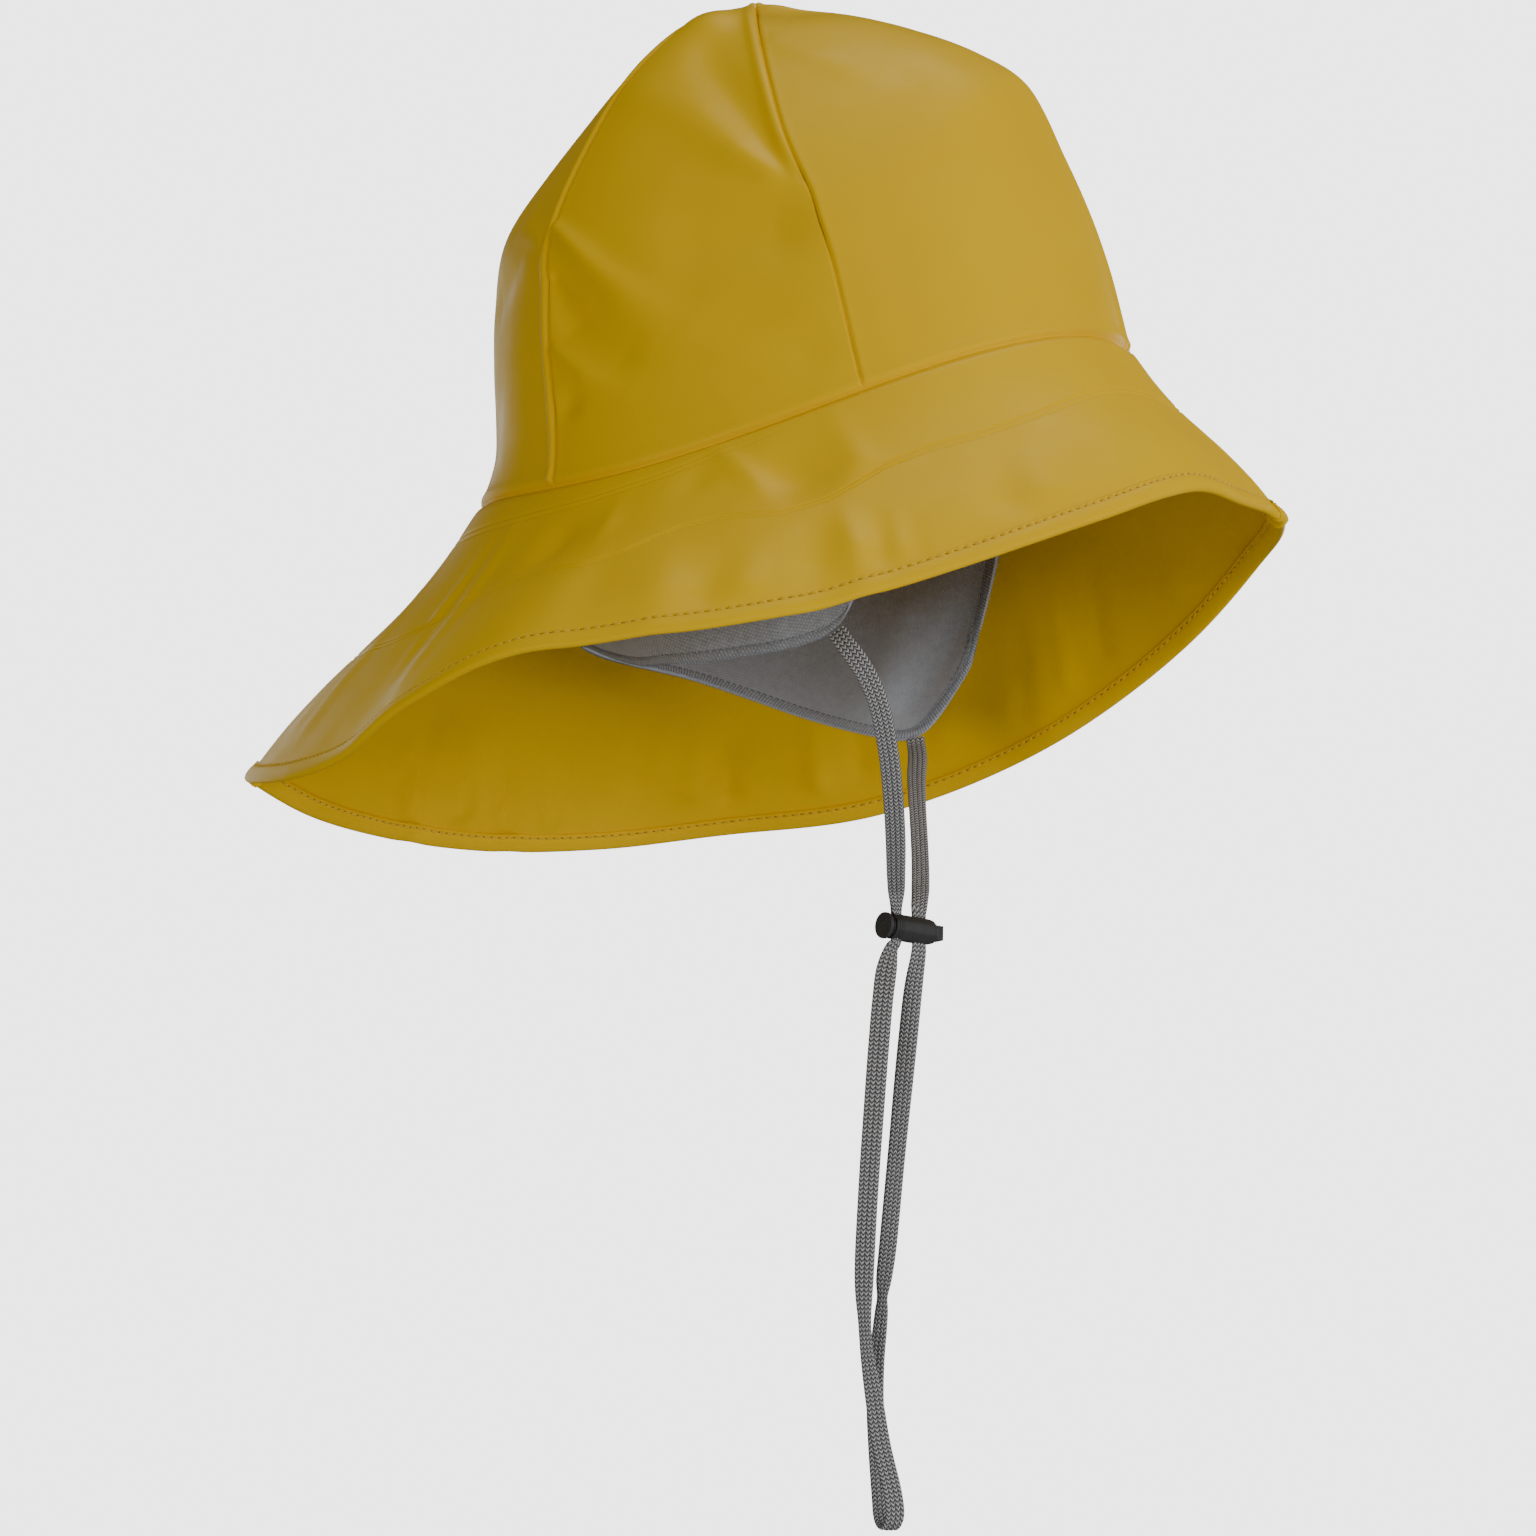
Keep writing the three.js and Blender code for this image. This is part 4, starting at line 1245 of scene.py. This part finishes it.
def barrel_outline(scale):
    """A polygon with flats at the barrel's radius and rounded corners."""
    half_flat = BARREL_RADIUS * math.tan(math.pi / BARREL_SIDES) - BARREL_CORNER
    outline = []
    for side in range(BARREL_SIDES):
        turn = 2 * math.pi * side / BARREL_SIDES
        for across in (-half_flat, 0, half_flat):
            outline.append((
                scale * (BARREL_RADIUS * math.cos(turn) - across * math.sin(turn)),
                scale * (BARREL_RADIUS * math.sin(turn) + across * math.cos(turn)),
            ))
    return outline


def circle(radius):
    turns = [2 * math.pi * side / CIRCLE_SIDES for side in range(CIRCLE_SIDES)]
    return [(radius * math.cos(turn), radius * math.sin(turn)) for turn in turns]


def lock_box(name, start, end, width, height):
    y, z = width / 2, height / 2
    outline = [(-y, -z), (y, -z), (y, z), (-y, z)]
    return lofted(name, [(start, outline), (end, outline)])


def combined(piece, other, operation):
    modifier = piece.modifiers.new(operation, "BOOLEAN")
    modifier.operation = operation
    modifier.solver = "EXACT"
    modifier.object = other
    bpy.context.view_layer.objects.active = piece
    with bpy.context.temp_override(object=piece, active_object=piece):
        bpy.ops.object.modifier_apply(modifier=modifier.name)
    bpy.data.objects.remove(other)


def cut_holes(piece, travel=0):
    """Cuts the cord's holes, longer at the front by the travel."""
    for hole, length in LOCK_HOLES:
        cut = lock_box("cut", hole - length / 2 - travel, hole + length / 2, HOLE_WIDTH, 4 * LOCK_RADIUS)
        combined(piece, cut, "DIFFERENCE")


def cord_lock():
    start = LOCK_BODY_START
    end = start + LOCK_BODY_LENGTH - 0.5
    profile = [
        (base + along, share)
        for base, part in ((start, BARREL_MOUTH), (start + COLLAR_LENGTH, BARREL_COLLAR), (end, BARREL_END))
        for along, share in part
    ]
    body = lofted("cord_lock_barrel", [(along, barrel_outline(share)) for along, share in profile])
    mouth, bore_outline = circle(MOUTH_RADIUS), circle(PISTON_RADIUS + PISTON_GAP)
    step = start + MOUTH_DEPTH
    bore = lofted("bore", [
        (start - 1, mouth), (step, mouth), (step + 0.1, bore_outline), (end - 1, bore_outline),
    ])
    combined(body, bore, "DIFFERENCE")
    cut_holes(body)
    tail_cut = lock_box("cut", end - 2, end + 1, TAIL_WIDTH + TAIL_GAP, TAIL_HEIGHT + TAIL_GAP)
    combined(body, tail_cut, "DIFFERENCE")
    body.data.set_sharp_from_angle(angle=SHARP_PLASTIC)
    fitted(body, nodes=("cord_lock_body",))

    piston_end = end - 1 - PRESS_TRAVEL - 0.3
    neck, rib = circle(PISTON_RADIUS), circle(PISTON_RIB_RADIUS)
    sections = [(along, circle(BUTTON_RADIUS * share)) for along, share in BUTTON]
    sections += [
        (1.35, neck), (1.6, neck), (1.65, rib), (1.9, rib), (1.95, neck), (2.15, neck), (2.2, rib),
        (2.45, rib), (2.5, neck), (piston_end, neck),
    ]
    press = lofted("cord_lock_button", sections)
    cut_holes(press, PRESS_TRAVEL)
    tail = lock_box("tail", piston_end - 1, end + TAIL_PROJECTION, TAIL_WIDTH, TAIL_HEIGHT)
    combined(press, tail, "UNION")
    press.data.set_sharp_from_angle(angle=SHARP_PLASTIC)
    fitted(press, body=PLUNGER, nodes=("cord_lock_plunger",))
    return [body, press]


# Stage


def area_light(name, location, size, power):
    data = bpy.data.lights.new(name, "AREA")
    data.shape = "DISK"
    data.size = size
    data.energy = power
    light = bpy.data.objects.new(name, data)
    light.location = location
    light.rotation_mode = "QUATERNION"
    light.rotation_quaternion = (Vector(LIGHT_AIM) - Vector(location)).to_track_quat("-Z", "Y")
    bpy.context.scene.collection.objects.link(light)


def studio():
    bpy.ops.mesh.primitive_circle_add(
        vertices=128, radius=FLOOR_RADIUS, fill_type="NGON", location=(0, 0, FLOOR_HEIGHT)
    )
    floor = bpy.context.object
    floor.name = "floor"
    floor.data.materials.append(PALE_FLOOR)
    for light in LIGHTS:
        area_light(*light)
    world = bpy.data.worlds.new("studio")
    bpy.context.scene.world = world
    world.use_nodes = True
    tree = world.node_tree
    background = tree.nodes["Background"]
    seen = add_node(tree, "ShaderNodeBackground")
    for shader, strength in ((seen, BACKDROP_LIGHT), (background, WORLD_LIGHT)):
        shader.inputs["Color"].default_value = (1, 1, 1, 1)
        shader.inputs["Strength"].default_value = strength
    path = add_node(tree, "ShaderNodeLightPath")
    mix = add_node(tree, "ShaderNodeMixShader")
    tree.links.new(path.outputs["Is Camera Ray"], mix.inputs[0])
    tree.links.new(background.outputs[0], mix.inputs[1])
    tree.links.new(seen.outputs[0], mix.inputs[2])
    tree.links.new(mix.outputs[0], tree.nodes["World Output"].inputs["Surface"])


make_camera()
chin_cord(cord_lock())
for side_name, is_left in (("right", False), ("left", True)):
    for panel_name, first_seam in (("front", 0), ("side", 1), ("back", 2)):
        crown_panel(f"crown_{panel_name}_{side_name}", first_seam, first_seam + 1, is_left)
halves = [brim_cloth("brim_right_cloth", False), brim_cloth("brim_left_cloth", True)]
edge_line = brim_edge(halves)
brim_trim = binding(*edge_line) + binding_stitches(*edge_line)
fleece_flap()
studio()
